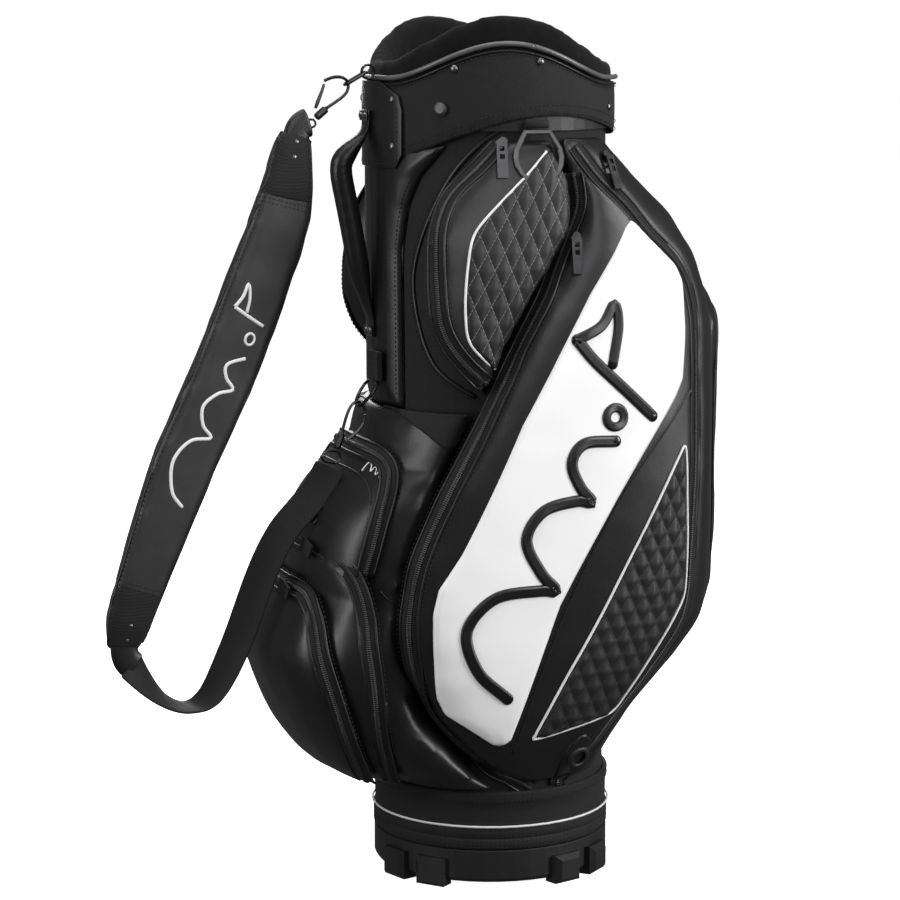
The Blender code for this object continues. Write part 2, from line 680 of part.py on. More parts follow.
def wire(name, stations, radii, steps, closed=False):
    """Bent wire in the strap's plane, with a radius at each station."""
    points = [strap_point(out, height) for out, height in stations]
    path = loop_through(points, steps) if closed else curve_through(points, steps)

    def outline(i):
        place = i / steps
        low = int(place) % len(radii)
        high = (low + 1) % len(radii) if closed else min(low + 1, len(radii) - 1)
        return round_outline(radii[low] + (radii[high] - radii[low]) * (place - int(place)), 8)

    sweep(name, path, lambda _i: STRAP_SIDE, outline, METAL, closed)


BARREL, WIRE = 0.0042, 0.0017
wire("top_hook", ((0.0560, 0.7968), (0.0550, 0.7976), (0.0460, 0.8046), (0.0440, 0.8062), (0.0290, 0.8150),
                  (0.0215, 0.8215), (0.0195, 0.8290), (0.0225, 0.8345), (0.0290, 0.8370), (0.0380, 0.8365),
                  (0.0465, 0.8335)),
     (0.0030, BARREL, BARREL, WIRE, WIRE, WIRE, WIRE, WIRE, WIRE, WIRE, WIRE), 2)
wire("top_hook_gate", ((0.0470, 0.8300), (0.0500, 0.8220), (0.0545, 0.8120), (0.0570, 0.8060)),
     (0.0014, 0.0018, 0.0022, 0.0016), 2)
wire("top_swivel_loop", ((0.0592, 0.7945), (0.0665, 0.7940), (0.0715, 0.7895), (0.0690, 0.7868),
                         (0.0610, 0.7868), (0.0570, 0.7895)), (0.0012,) * 6, 2, closed=True)
wire("lower_hook", ((0.0364, 0.4580), (0.0358, 0.4590), (0.0305, 0.4715), (0.0295, 0.4745), (0.0245, 0.4900),
                    (0.0190, 0.5005), (0.0120, 0.5045), (0.0055, 0.5010), (0.0030, 0.4940)),
     (0.0030, BARREL, BARREL, WIRE, WIRE, WIRE, WIRE, WIRE, WIRE), 2)
wire("lower_hook_gate", ((0.0032, 0.4903), (0.0048, 0.4820), (0.0130, 0.4725), (0.0255, 0.4640)),
     (0.0014, 0.0018, 0.0022, 0.0016), 2)
wire("lower_swivel_loop", ((0.0390, 0.4548), (0.0475, 0.4548), (0.0535, 0.4500), (0.0500, 0.4450),
                           (0.0380, 0.4420), (0.0325, 0.4460), (0.0335, 0.4520)),
     (0.0013,) * 7, 2, closed=True)

PAD_ROUTE = ((0.0780, 0.7845), (0.0840, 0.7600), (0.0950, 0.7030), (0.1240, 0.6310), (0.1660, 0.5360),
             (0.2110, 0.4480), (0.2530, 0.3460), (0.2710, 0.2970), (0.2770, 0.2670))
PAD_WIDTHS = (0.033, 0.050, 0.072, 0.077, 0.078, 0.077, 0.063, 0.054, 0.032)
PAD_DEPTHS = (0.006, 0.009, 0.013, 0.014, 0.014, 0.014, 0.012, 0.009, 0.006)
PAD_STEPS = 2
pad_path = strap_path(PAD_ROUTE, PAD_STEPS)


def pad_outline(index):
    place = index / PAD_STEPS
    stations = range(len(PAD_WIDTHS))
    width, depth = (float(numpy.interp(place, stations, values)) for values in (PAD_WIDTHS, PAD_DEPTHS))
    return flat_outline(width, depth, depth * 0.35)


def in_plane(path):
    """Width direction that keeps a strip lying in the strap's plane."""
    def across(i):
        along = path[min(i + 1, len(path) - 1)] - path[max(i - 1, 0)]
        return along.cross(STRAP_SIDE).normalized()
    return across


sweep("strap_pad", pad_path, in_plane(pad_path), pad_outline, LEATHER)

WEB_ROUTE = ((0.2690, 0.2560), (0.2530, 0.2350), (0.2300, 0.2130), (0.2040, 0.2040), (0.1820, 0.2140),
             (0.1630, 0.2440), (0.1460, 0.2790), (0.1320, 0.3140), (0.1160, 0.3490), (0.0960, 0.3800),
             (0.0700, 0.4040), (0.0540, 0.4230), (0.0440, 0.4390))
WEB_TWIST = (20, 45, 70, 85, 70, 55, 50, 50, 50, 50, 50, 50, 50)
WEB_STEPS = 2
web_path = strap_path(WEB_ROUTE, WEB_STEPS)
web_plane = in_plane(web_path)


def web_across(index):
    turn = math.radians(float(numpy.interp(index / WEB_STEPS, range(len(WEB_TWIST)), WEB_TWIST)))
    return web_plane(index) * math.cos(turn) + STRAP_SIDE * math.sin(turn)


sweep("strap_webbing", web_path, web_across, lambda _i: flat_outline(WEBBING_WIDTH, 0.0030, 0.0006), NYLON)
BUCKLE_AT = 10 * WEB_STEPS
buckle = bmesh.new()
windowed_plate(buckle, (0.004, 0.031, 0.004), (0.003, 0.0045, 0.003, 0.0045, 0.003), {(1, 1), (1, 3)}, 0.0030)
buckle_along = (web_path[BUCKLE_AT + 1] - web_path[BUCKLE_AT - 1]).normalized()
buckle_out = buckle_along.cross(web_across(BUCKLE_AT)).normalized()
buckle_point = web_path[BUCKLE_AT] + buckle_along * 0.004 + buckle_out * 0.0033
add_object("ladder_buckle", buckle, METAL, facing(buckle_point, buckle_out, buckle_along))

# Rings: an eye on the tab with a long link through it, and a D-ring under a webbing tab on the spine
EYE_CENTRE = polar(-80, TAB_RADIUS + 0.0095, 0.842)
EYE_STEPS = 16
eye_out = polar(-80, 1, 0)
eye_side = Vector((-eye_out.y, eye_out.x, 0))
eye_path = [EYE_CENTRE + (eye_out * math.cos(t) + Vector((0, 0, 1)) * math.sin(t)) * 0.0070
            for t in [2 * math.pi * k / EYE_STEPS for k in range(EYE_STEPS)]]
sweep("top_eye", eye_path, lambda _i: eye_side, lambda _i: round_outline(0.0015, 6), METAL, closed=True)

LINK_FAR = strap_point(0.0240, 0.8290)
LINK_NEAR = EYE_CENTRE + eye_out * 0.0018
link_along = (LINK_FAR - LINK_NEAR).normalized()
link_across = link_along.cross(Vector((0, 0, 1))).normalized()
LINK_HALF_WIDTH = 0.0060


def link_path():
    """A long loop with round ends."""
    points = []
    for centre, start in ((LINK_FAR - link_along * LINK_HALF_WIDTH, -90),
                          (LINK_NEAR + link_along * LINK_HALF_WIDTH, 90)):
        for k in range(7):
            t = math.radians(start + 30 * k)
            points.append(centre + (link_along * math.cos(t) + link_across * math.sin(t)) * LINK_HALF_WIDTH)
    return points


sweep("top_link", link_path(), lambda _i: link_along.cross(link_across), lambda _i: round_outline(0.0015, 6),
      METAL, closed=True)

RING_BAR_X, RING_BAR_Y, RING_BAR_Z = 0.0190, -0.1355, 0.5240
D_HALF_WIDTH = 0.0190
D_HANG = Vector((0.0038, -0.0188, -0.0238))
d_points = [Vector((RING_BAR_X + x, RING_BAR_Y, RING_BAR_Z)) for x in (-0.014, 0.0, 0.014)]
for a in range(-10, 191, 20):
    t = math.radians(a)
    d_points.append(Vector((RING_BAR_X + D_HALF_WIDTH * math.cos(t), RING_BAR_Y, RING_BAR_Z))
                    + D_HANG * (0.30 + 0.70 * math.sin(t)))
sweep("lower_ring", d_points, lambda _i: Vector((0, 1, -0.5)), lambda _i: round_outline(0.0018, 8), METAL,
      closed=True)
ring_tab = bmesh.new()
box(ring_tab, (0.002, -0.1365, 0.5266), (0.036, -0.1312, 0.5560))
add_object("lower_ring_tab", ring_tab, NYLON)
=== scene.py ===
import math

import bmesh
import bpy
import numpy
from mathutils import Matrix, Vector, kdtree, noise
from mathutils.bvhtree import BVHTree


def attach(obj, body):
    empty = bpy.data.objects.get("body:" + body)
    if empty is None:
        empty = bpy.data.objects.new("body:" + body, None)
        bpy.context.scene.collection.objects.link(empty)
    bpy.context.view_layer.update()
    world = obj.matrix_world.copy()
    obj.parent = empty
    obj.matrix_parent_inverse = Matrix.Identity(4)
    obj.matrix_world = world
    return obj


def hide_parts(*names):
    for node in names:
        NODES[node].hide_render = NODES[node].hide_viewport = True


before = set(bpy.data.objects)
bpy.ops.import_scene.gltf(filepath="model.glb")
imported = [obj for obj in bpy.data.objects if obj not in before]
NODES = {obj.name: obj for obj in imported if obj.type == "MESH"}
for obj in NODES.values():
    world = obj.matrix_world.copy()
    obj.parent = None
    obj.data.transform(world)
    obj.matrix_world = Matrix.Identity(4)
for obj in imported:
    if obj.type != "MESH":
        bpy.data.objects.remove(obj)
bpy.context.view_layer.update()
scene = bpy.context.scene

# ---- Studio
# A seamless white floor, a large softbox over it, four more round it, and a camera at chest height
# in front of the bag's right-hand side.
VIEW_TURN, VIEW_DISTANCE, VIEW_HEIGHT, AIM_HEIGHT = math.radians(70), 3.0, 0.90, 0.45
camera = bpy.data.objects.new("camera", bpy.data.cameras.new("camera"))
scene.collection.objects.link(camera)
camera.location = (VIEW_DISTANCE * math.sin(VIEW_TURN), -VIEW_DISTANCE * math.cos(VIEW_TURN), VIEW_HEIGHT)
camera.rotation_euler = (Vector((0, 0, AIM_HEIGHT)) - camera.location).to_track_quat("-Z", "Y").to_euler()
camera.data.lens = 114.4
camera.data.shift_x, camera.data.shift_y = -0.0444, -0.0078
scene.camera = camera


def softbox(name, place, aim, size, watts):
    lamp = bpy.data.lights.new(name, "AREA")
    lamp.shape = "RECTANGLE"
    lamp.size, lamp.size_y = size
    lamp.energy = watts
    held = bpy.data.objects.new(name, lamp)
    held.location = place
    held.rotation_euler = (Vector(aim) - Vector(place)).to_track_quat("-Z", "Y").to_euler()
    scene.collection.objects.link(held)


softbox("softbox_top", (0.3, -0.2, 2.6), (0, 0, 0), (2.4, 2.4), 50)
softbox("softbox_rear_side", (1.5, 2.1, 1.2), (0, 0, 0.5), (0.8, 1.9), 72)
softbox("softbox_spine_side", (0.6, -2.6, 1.1), (0, 0, 0.5), (0.7, 1.8), 34)
softbox("softbox_front", (3.2, 0.2, 1.8), (0, 0, 0.5), (1.6, 1.2), 27)

softbox("softbox_far_side", (-2.6, 0.5, 1.5), (0, 0, 0.5), (1.2, 1.6), 30)

studio = bpy.data.worlds.new("studio")
studio.use_nodes = True
backdrop = studio.node_tree.nodes["Background"]
backdrop.inputs["Color"].default_value = (1, 1, 1, 1)
seen = studio.node_tree.nodes.new("ShaderNodeLightPath")
level = studio.node_tree.nodes.new("ShaderNodeMapRange")
AMBIENT, BACKDROP = 0.12, 1.0
level.inputs["To Min"].default_value, level.inputs["To Max"].default_value = AMBIENT, BACKDROP
studio.node_tree.links.new(seen.outputs["Is Camera Ray"], level.inputs["Value"])
studio.node_tree.links.new(level.outputs["Result"], backdrop.inputs["Strength"])
scene.world = studio
scene.view_settings.view_transform = "Standard"

floor_mesh = bmesh.new()
bmesh.ops.create_circle(floor_mesh, cap_ends=True, segments=64, radius=14)
floor_data = bpy.data.meshes.new("floor")
floor_mesh.to_mesh(floor_data)
floor_mesh.free()
floor = bpy.data.objects.new("floor", floor_data)
scene.collection.objects.link(floor)
paper = bpy.data.materials.new("studio_paper")
paper.use_nodes = True
for socket, value in {"Base Color": (0.93, 0.93, 0.93, 1), "Roughness": 0.9, "Emission Color": (1, 1, 1, 1),
                      "Emission Strength": 0.95}.items():
    paper.node_tree.nodes["Principled BSDF"].inputs[socket].default_value = value
floor_data.materials.append(paper)
floor.visible_diffuse = floor.visible_glossy = False


# ---- Body shell
# A stiff round tube, covered in black ballistic nylon where it shows between the pockets. The
# nylon is a coarse basket weave of thick threads.
class Wire:
    """A socket in a material, with arithmetic on it."""

    def __init__(self, tree, socket):
        self.tree, self.socket = tree, socket

    def node(self, kind, settings=None, inputs=None, output=0):
        made = self.tree.nodes.new(kind)
        for name, value in (settings or {}).items():
            if name == "stops":
                ramp = made.color_ramp
                for place, colour in value[2:]:
                    ramp.elements.new(place)
                for stop, (place, colour) in zip(ramp.elements, sorted(value)):
                    stop.position, stop.color = place, (*colour, 1)
            else:
                setattr(made, name, value)
        for name, value in (inputs or {}).items():
            if isinstance(value, Wire):
                self.tree.links.new(value.socket, made.inputs[name])
            else:
                made.inputs[name].default_value = value
        return Wire(self.tree, made.outputs[output])

    def math(self, operation, *others):
        return self.node("ShaderNodeMath", {"operation": operation},
                         dict(enumerate((self, *others))))

    def __add__(self, other):
        return self.math("ADD", other)

    def __sub__(self, other):
        return self.math("SUBTRACT", other)

    def __mul__(self, other):
        return self.math("MULTIPLY", other)

    def __truediv__(self, other):
        return self.math("DIVIDE", other)

    def __rsub__(self, other):
        return self.node("ShaderNodeMath", {"operation": "SUBTRACT"}, {0: other, 1: self})

    __radd__, __rmul__ = __add__, __mul__

    def part(self, axis):
        return self.node("ShaderNodeSeparateXYZ", None, {"Vector": self}, "XYZ".index(axis))

    def clouds(self, scale, detail=2.0):
        return self.node("ShaderNodeTexNoise", None, {"Vector": self, "Scale": scale, "Detail": detail})

    def tint(self, dark, light):
        """Dark colour at 0, light colour at 1."""
        return self.node("ShaderNodeMix", {"data_type": "RGBA"},
                         {0: self, 6: (*dark, 1), 7: (*light, 1)}, 2)

    def raised(self, depth, strength=1.0, under=None):
        sockets = {"Height": self, "Distance": depth, "Strength": strength}
        if under:
            sockets["Normal"] = under
        return self.node("ShaderNodeBump", None, sockets)


def finish(name, slot, source="Object", **fixed):
    """An empty material, its shader, and the coordinates that its pattern is laid on. The slot is not used.
    """
    made = bpy.data.materials.new(name)
    made.use_nodes = True
    shader = made.node_tree.nodes["Principled BSDF"]
    for socket, value in fixed.items():
        shader.inputs[socket.replace("_", " ")].default_value = value
    start = made.node_tree.nodes.new("ShaderNodeTexCoord")
    return made, shader, Wire(made.node_tree, start.outputs[source])


def feed(shader, **wires):
    for socket, wire in wires.items():
        wire.tree.links.new(wire.socket, shader.inputs[socket.replace("_", " ")])


WEAVE_RADIUS = 0.16


def round_the_bag(place):
    """Distance round the upright axis, in metres."""
    return place.part("Y").math("ARCTAN2", place.part("X")) * WEAVE_RADIUS


def nylon(name, dark, light, thread, source="Object"):
    made, shader, place = finish(name, "black_nylon", source, Specular_IOR_Level=0.22, Sheen_Weight=0.05,
                                 Sheen_Roughness=0.5)
    if source == "Object":
        across, up = round_the_bag(place), place.part("Z")
    else:
        across, up = place.part("X"), place.part("Y")
    over = (across / thread + up / thread * 0.5).math("PINGPONG", 0.5)
    under = (up / thread - across / thread * 0.5).math("PINGPONG", 0.5)
    weave = over.math("MAXIMUM", under) * 2
    fluff = place.clouds(30.0, 4.0)
    feed(shader, Base_Color=(weave * 0.6 + fluff * 0.4).tint(dark, light),
         Roughness=0.58 + weave * 0.14, Normal=weave.raised(thread * 0.22, 0.5))
    return made


BALLISTIC = nylon("ballistic_nylon", (0.0035, 0.0034, 0.0036), (0.015, 0.0145, 0.015), 0.0022)


def dress(material, *names):
    """Gives CAD pieces their finish."""
    for name in names:
        NODES[name].data.materials.clear()
        NODES[name].data.materials.append(material)


dress(BALLISTIC, "body_shell", "lower_ring_tab", "divider_sleeves")


# ---- Base
# One moulding of hard black rubber-like plastic with four pairs of feet and a fine spark texture.
def plastic(name, colour, roughness):
    made, shader, place = finish(name, "black_plastic", Specular_IOR_Level=0.4)
    pits = place.clouds(900.0, 3.0)
    scuffs = place.clouds(35.0, 5.0)
    light = [value * 1.6 + 0.002 for value in colour]
    feed(shader, Base_Color=scuffs.tint(colour, light), Roughness=roughness - 0.08 + scuffs * 0.16,
         Normal=pits.raised(0.0004, 0.35))
    return made


MOULDED = plastic("moulded_plastic", (0.006, 0.0058, 0.006), 0.50)
dress(MOULDED, "base_cup", "stay_cage", "collar_ring", "umbrella_eyelet", "divider_head")


# ---- Soft pieces of leather
# Pockets, pads and gussets are cut from smooth black synthetic leather with a fine pebble grain,
# lined with foam, so that they swell between their seams and pull in along them.
def leather(name, dark, light, roughness, grain=0.35, slot="black_leather"):
    made, shader, place = finish(name, slot, Specular_IOR_Level=0.42)
    cells = place.node("ShaderNodeTexVoronoi", {"feature": "SMOOTH_F1"},
                       {"Vector": place, "Scale": 780.0, "Smoothness": 0.6})
    pores = place.clouds(420.0, 3.0)
    folds = place.clouds(24.0, 3.0)
    wear = place.clouds(7.0, 4.0)
    fine = (cells * 0.7 + pores * 0.5).raised(0.00022, grain)
    feed(shader, Base_Color=wear.tint(dark, light), Roughness=roughness - 0.09 + pores * 0.12 + wear * 0.06,
         Normal=folds.raised(0.0012, 0.35, fine))
    return made


BLACK_LEATHER = leather("black_leather", (0.0035, 0.0033, 0.0035), (0.0105, 0.010, 0.0104), 0.38)
CHARCOAL_LEATHER = leather("charcoal_leather", (0.013, 0.0125, 0.0128), (0.026, 0.025, 0.0255), 0.46)
WHITE_LEATHER = leather("white_leather", (0.84, 0.84, 0.85), (0.90, 0.90, 0.91), 0.50, 0.22,
                        "white_leather")


def settle(name, made, material, *stands_for, body="bag"):
    """Turns a finished bmesh into a piece that rides on a body."""
    data = bpy.data.meshes.new(name)
    made.to_mesh(data)
    made.free()
    data.shade_smooth()
    data.materials.append(material)
    piece = bpy.data.objects.new(name, data)
    scene.collection.objects.link(piece)
    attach(piece, body)
    if stands_for:
        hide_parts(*stands_for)
    return piece


def welded_copy(node):
    """The CAD piece's shape with its loose triangles joined up."""
    made = bmesh.new()
    made.from_mesh(NODES[node].data)
    bmesh.ops.remove_doubles(made, verts=made.verts, dist=0.00002)
    return made


def evaluated(piece):
    graph = bpy.context.evaluated_depsgraph_get()
    return bpy.data.meshes.new_from_object(piece.evaluated_get(graph), depsgraph=graph)


def foam_block(node, material, voxel, body="bag"):
    """An even mesh of the CAD piece, ready to be blown up."""
    piece = settle(node + "_soft", welded_copy(node), material, node, body=body)
    even = piece.modifiers.new("even", "REMESH")
    even.mode = "VOXEL"
    even.voxel_size = voxel
    fine = evaluated(piece)
    piece.modifiers.clear()
    piece.data = fine
    if not fine.materials:
        fine.materials.append(material)
    return piece


SOFT, FOAM = {}, {}
for node, voxel, thick in (("apparel_pocket_right", 0.0065, 0.0050), ("upper_pocket_right", 0.0055, 0.0045),
                           ("rear_pocket", 0.0065, 0.0050), ("front_body", 0.0050, 0.0050),
                           ("ball_pocket", 0.0046, 0.0045), ("accessory_pocket", 0.0046, 0.0050)):
    SOFT[node], FOAM[node] = foam_block(node, BLACK_LEATHER, voxel), thick
SOFT["strap_pad"], FOAM["strap_pad"] = foam_block("strap_pad", CHARCOAL_LEATHER, 0.0045, "strap"), 0.0030
PRESSURE, SIM_STEPS = 4.0, 14
resting = {name: [v.co.copy() for v in piece.data.vertices] for name, piece in SOFT.items()}
for piece in SOFT.values():
    cloth = piece.modifiers.new("cloth", "CLOTH")
    cloth.settings.use_pressure = True
    cloth.settings.uniform_pressure_force = PRESSURE
    cloth.settings.effector_weights.gravity = 0.0
    cloth.settings.quality = 4
    cloth.point_cache.frame_end = SIM_STEPS + 1
for step in range(1, SIM_STEPS + 1):
    scene.frame_set(step)
for piece in SOFT.values():
    blown = evaluated(piece)
    piece.modifiers.clear()
    piece.data = blown
scene.frame_set(1)

SHELL_OUTSIDE, GLUED_RIM, PASSES = 0.1235, 0.012, 7


def smoothed(shape, passes):
    for _pass in range(passes):
        bmesh.ops.smooth_vert(shape, verts=shape.verts, factor=0.5, use_axis_x=True, use_axis_y=True,
                              use_axis_z=True)


for name, piece in SOFT.items():
    shape = bmesh.new()
    shape.from_mesh(piece.data)
    shape.normal_update()
    for vertex, start in zip(shape.verts, resting[name]):
        move = vertex.co - start
        if move.length > FOAM[name]:
            move *= FOAM[name] / move.length
        if name != "strap_pad":
            outside = math.hypot(start.x, start.y) - SHELL_OUTSIDE
            move *= min(max(outside / GLUED_RIM, 0.0), 1.0)
        lump = noise.noise(start * 26) * 0.0009 + noise.noise(start * 60) * 0.0004
        vertex.co = start + move + vertex.normal * (lump if move.length else 0.0)
    smoothed(shape, PASSES)
    shape.to_mesh(piece.data)
    shape.free()
    piece.data.shade_smooth()


# ---- Seams
# Every seam is drawn as the angle round the bag, then the height, of a few points on it, and is
# laid on the outside of the pocket that it runs over.
def outside_of(*pieces):
    """A search tree over the outsides of several pieces."""
    skin = bmesh.new()
    for piece in pieces:
        data = evaluated(piece)
        skin.from_mesh(data)
        bpy.data.meshes.remove(data)
    tree = BVHTree.FromBMesh(skin)
    skin.free()
    return tree


TUBE = NODES["body_shell"]


def spot_on(tree, angle, height):
    way = Vector((math.cos(math.radians(angle)), math.sin(math.radians(angle)), 0))
    place, normal, _face, _far = tree.ray_cast(way * 0.6 + Vector((0, 0, height)), -way, 0.54)
    return (place, normal) if place else None


def rounded(stations, closed=False, steps=8):
    """A smooth line through points of any dimension."""
    points = [Vector(s) for s in stations]
    count = len(points)
    line = []
    for i in range(count if closed else count - 1):
        if closed:
            a, b, c, d = (points[(i + k) % count] for k in (-1, 0, 1, 2))
        else:
            b, c = points[i], points[i + 1]
            a = points[i - 1] if i else b * 2 - c
            d = points[i + 2] if i + 2 < count else c * 2 - b
        for k in range(steps):
            t = k / steps
            line.append(((b * 2) + (c - a) * t + (a * 2 - b * 5 + c * 4 - d) * t * t
                         + (b * 3 - a - c * 3 + d) * t ** 3) * 0.5)
    if not closed:
        line.append(points[-1])
    return line


def even_spacing(line, gap):
    """The same line with (place, normal) pairs a fixed distance apart."""
    places = numpy.array([[*p, *n] for p, n in line])
    steps = numpy.linalg.norm(numpy.diff(places[:, :3], axis=0), axis=1)
    far = numpy.concatenate(([0.0], numpy.cumsum(steps)))
    wanted = numpy.linspace(0.0, far[-1], max(int(round(far[-1] / gap)), 2) + 1)
    found = numpy.stack([numpy.interp(wanted, far, places[:, k]) for k in range(6)], axis=1)
    return [(Vector(row[:3]), Vector(row[3:]).normalized()) for row in found]


def laid(tree, stations, lift=0.0, gap=0.004, closed=False, steps=8):
    """A seam line laid on the outside."""
    drawn = rounded([(a / 100, h) for a, h in stations], closed, steps)
    hits = [spot_on(tree, a * 100, h) for a, h in drawn]
    hits = [hit for hit in hits if hit]
    if closed:
        hits.append(hits[0])
    line = even_spacing(hits, gap)
    smooth = []
    for i, (place, _normal) in enumerate(line):
        near = line[max(i - 3, 0):i + 4]
        normal = sum((n for _p, n in near), Vector()).normalized()
        middle = sum((p for p, _n in near), Vector()) / len(near) if 2 < i < len(line) - 3 else place
        smooth.append((middle + normal * lift, normal))
    return smooth


def channel(piece, lines, width, depth):
    """Pulls the leather in along its seams."""
    tree = kdtree.KDTree(sum(len(line) for line in lines))
    count = 0
    for line in lines:
        for place, _normal in line:
            tree.insert(place, count)
            count += 1
    tree.balance()
    shape = bmesh.new()
    shape.from_mesh(piece.data)
    shape.normal_update()
    for vertex in shape.verts:
        _place, _index, away = tree.find(vertex.co)
        if away < width:
            fall = 0.5 + 0.5 * math.cos(math.pi * away / width)
            vertex.co -= vertex.normal * depth * fall
    shape.to_mesh(piece.data)
    shape.free()


def over_to_left(stations):
    return [(-180 - a, h) for a, h in stations]


def both_ends(half):
    """Carries a line on the front over to its mirror image."""
    return list(half) + over_to_left(half)[::-1]


MAIN_ZIP = ((17.5, 0.742), (18.5, 0.700), (7.0, 0.640), (-8.5, 0.570), (-22.0, 0.492), (-33.0, 0.423),
            (-40.3, 0.361), (-43.3, 0.304), (-43.6, 0.252), (-41.7, 0.199), (-33.0, 0.160), (-21.0, 0.131),
            (-9.0, 0.117), (-3.0, 0.1085), (0.0, 0.1035))
REAR_ZIP = ((20.0, 0.768), (27.0, 0.736), (34.5, 0.712), (42.1, 0.677), (50.0, 0.645), (52.5, 0.609),
            (52.0, 0.558), (51.3, 0.454), (50.3, 0.349), (49.3, 0.280), (41.8, 0.230), (33.4, 0.191),
            (25.7, 0.160), (19.0, 0.130), (16.0, 0.112), (15.0, 0.1035))
UPPER_ZIP = ((-15.5, 0.772), (-26.0, 0.745), (-34.0, 0.724), (-37.2, 0.698), (-37.2, 0.659),
             (-36.2, 0.620), (-34.8, 0.591), (-31.0, 0.567), (-25.0, 0.545), (-20.5, 0.530), (-17.0, 0.519))
VALUABLES_ZIP = both_ends(((-57.0, 0.338), (-55.0, 0.370), (-54.0, 0.402), (-54.6, 0.427), (-57.2, 0.445),
                           (-63.0, 0.4545), (-71.0, 0.4575), (-80.0, 0.4585)))
BALL_ZIP = both_ends(((-57.0, 0.118), (-55.6, 0.132), (-54.0, 0.160), (-52.3, 0.200), (-52.4, 0.240),
                      (-53.3, 0.270), (-54.9, 0.302), (-57.2, 0.327),
                      (-61.0, 0.345), (-67, 0.357), (-74, 0.362), (-82, 0.363)))
ACCESSORY_ZIP = both_ends(((-63.0, 0.116), (-61.3, 0.128), (-60.2, 0.145), (-59.4, 0.175), (-61.2, 0.232),
                           (-66.0, 0.296), (-70, 0.311), (-76, 0.318), (-83, 0.320)))

side = outside_of(SOFT["apparel_pocket_right"])
upper = outside_of(SOFT["upper_pocket_right"])
seams_side = [laid(side, MAIN_ZIP), laid(side, REAR_ZIP)]
channel(SOFT["apparel_pocket_right"], seams_side, 0.013, 0.0028)
channel(SOFT["upper_pocket_right"], [laid(upper, UPPER_ZIP)], 0.011, 0.0024)
for node, zips in (("ball_pocket", BALL_ZIP), ("accessory_pocket", ACCESSORY_ZIP)):
    channel(SOFT[node], [laid(outside_of(SOFT[node]), zips)], 0.010, 0.0024)


def finer(piece, levels=1):
    smooth = piece.modifiers.new("smooth", "SUBSURF")
    smooth.levels = smooth.render_levels = levels


for piece in SOFT.values():
    finer(piece)


# ---- Zips
# A black nylon coil sewn to a woven tape, with a folded leather welt along each side of it.
def strip(line, section, closed=False):
    """A closed section, in (across, out) pairs, carried along a laid line."""
    rows, around = len(line) - 1, len(section)
    made = bmesh.new()
    along = made.loops.layers.uv.new("along")
    bmesh.ops.create_grid(made, x_segments=around, y_segments=rows, size=1.0)
    far = [0.0]
    for (before, _n), (after, _m) in zip(line, line[1:]):
        far.append(far[-1] + (after - before).length)
    perimeter = [0.0]
    for k in range(around):
        (a, b), (c, d) = section[k], section[(k + 1) % around]
        perimeter.append(perimeter[-1] + math.hypot(c - a, d - b))
    index = {v: (round((v.co.x + 1) * around / 2), round((v.co.y + 1) * rows / 2)) for v in made.verts}
    for face in made.faces:
        for corner in face.loops:
            i, j = index[corner.vert]
            corner[along].uv = (perimeter[i], far[j])
    last = len(line) - 1
    for vertex, (i, j) in index.items():
        place, normal = line[j]
        if closed:
            ahead = line[(j + 1) % last][0] - line[(j - 1) % last][0]
        else:
            ahead = line[min(j + 1, last)][0] - line[max(j - 1, 0)][0]
        across = ahead.cross(normal).normalized()
        out = across.cross(ahead).normalized()
        w, d = section[i % around]
        vertex.co = place + across * w + out * d
    bmesh.ops.remove_doubles(made, verts=made.verts, dist=0.000001)
    if not closed:
        edges = [edge for edge in made.edges if edge.is_boundary]
        bmesh.ops.holes_fill(made, edges=edges, sides=0)
    bmesh.ops.recalc_face_normals(made, faces=made.faces)
    return made


def round_bead(radius, out=0.0, sides=8):
    return [(radius * math.cos(2 * math.pi * k / sides), out + radius * math.sin(2 * math.pi * k / sides))
            for k in range(sides)]


def flat_tape(width, thick, out=0.0):
    w, t = width / 2, thick / 2
    return [(-w, out), (-w + t, out - t), (w - t, out - t), (w, out), (w - t, out + t), (0, out + t * 1.1),
            (-w + t, out + t)]


def joined(*parts):
    """Several bmeshes in one."""
    made = parts[0]
    for part in parts[1:]:
        data = bpy.data.meshes.new("joining")
        part.to_mesh(data)
        part.free()
        made.from_mesh(data)
        bpy.data.meshes.remove(data)
    return made


def shifted(line, across):
    """The same line moved sideways on the surface."""
    moved = []
    for i, (place, normal) in enumerate(line):
        ahead = line[min(i + 1, len(line) - 1)][0] - line[max(i - 1, 0)][0]
        moved.append((place + ahead.cross(normal).normalized() * across, normal))
    return moved


def coil_material():
    made, shader, place = finish("zip_coil", "black_plastic", "UV", Specular_IOR_Level=0.5)
    teeth = (place.part("Y") / 0.0022).math("PINGPONG", 0.5) * 2
    feed(shader, Base_Color=teeth.tint((0.003, 0.003, 0.003), (0.016, 0.016, 0.0165)),
         Roughness=0.5 - teeth * 0.12, Normal=teeth.raised(0.0007, 0.8))
    return made


COIL = coil_material()
TAPE = nylon("zip_tape", (0.003, 0.003, 0.0032), (0.010, 0.0098, 0.010), 0.0012, "UV")
TAPE_WIDTH, COIL_WIDTH, WELT_RADIUS, ROW_OFF_CENTRE = 0.0178, 0.0062, 0.0015, 0.0122


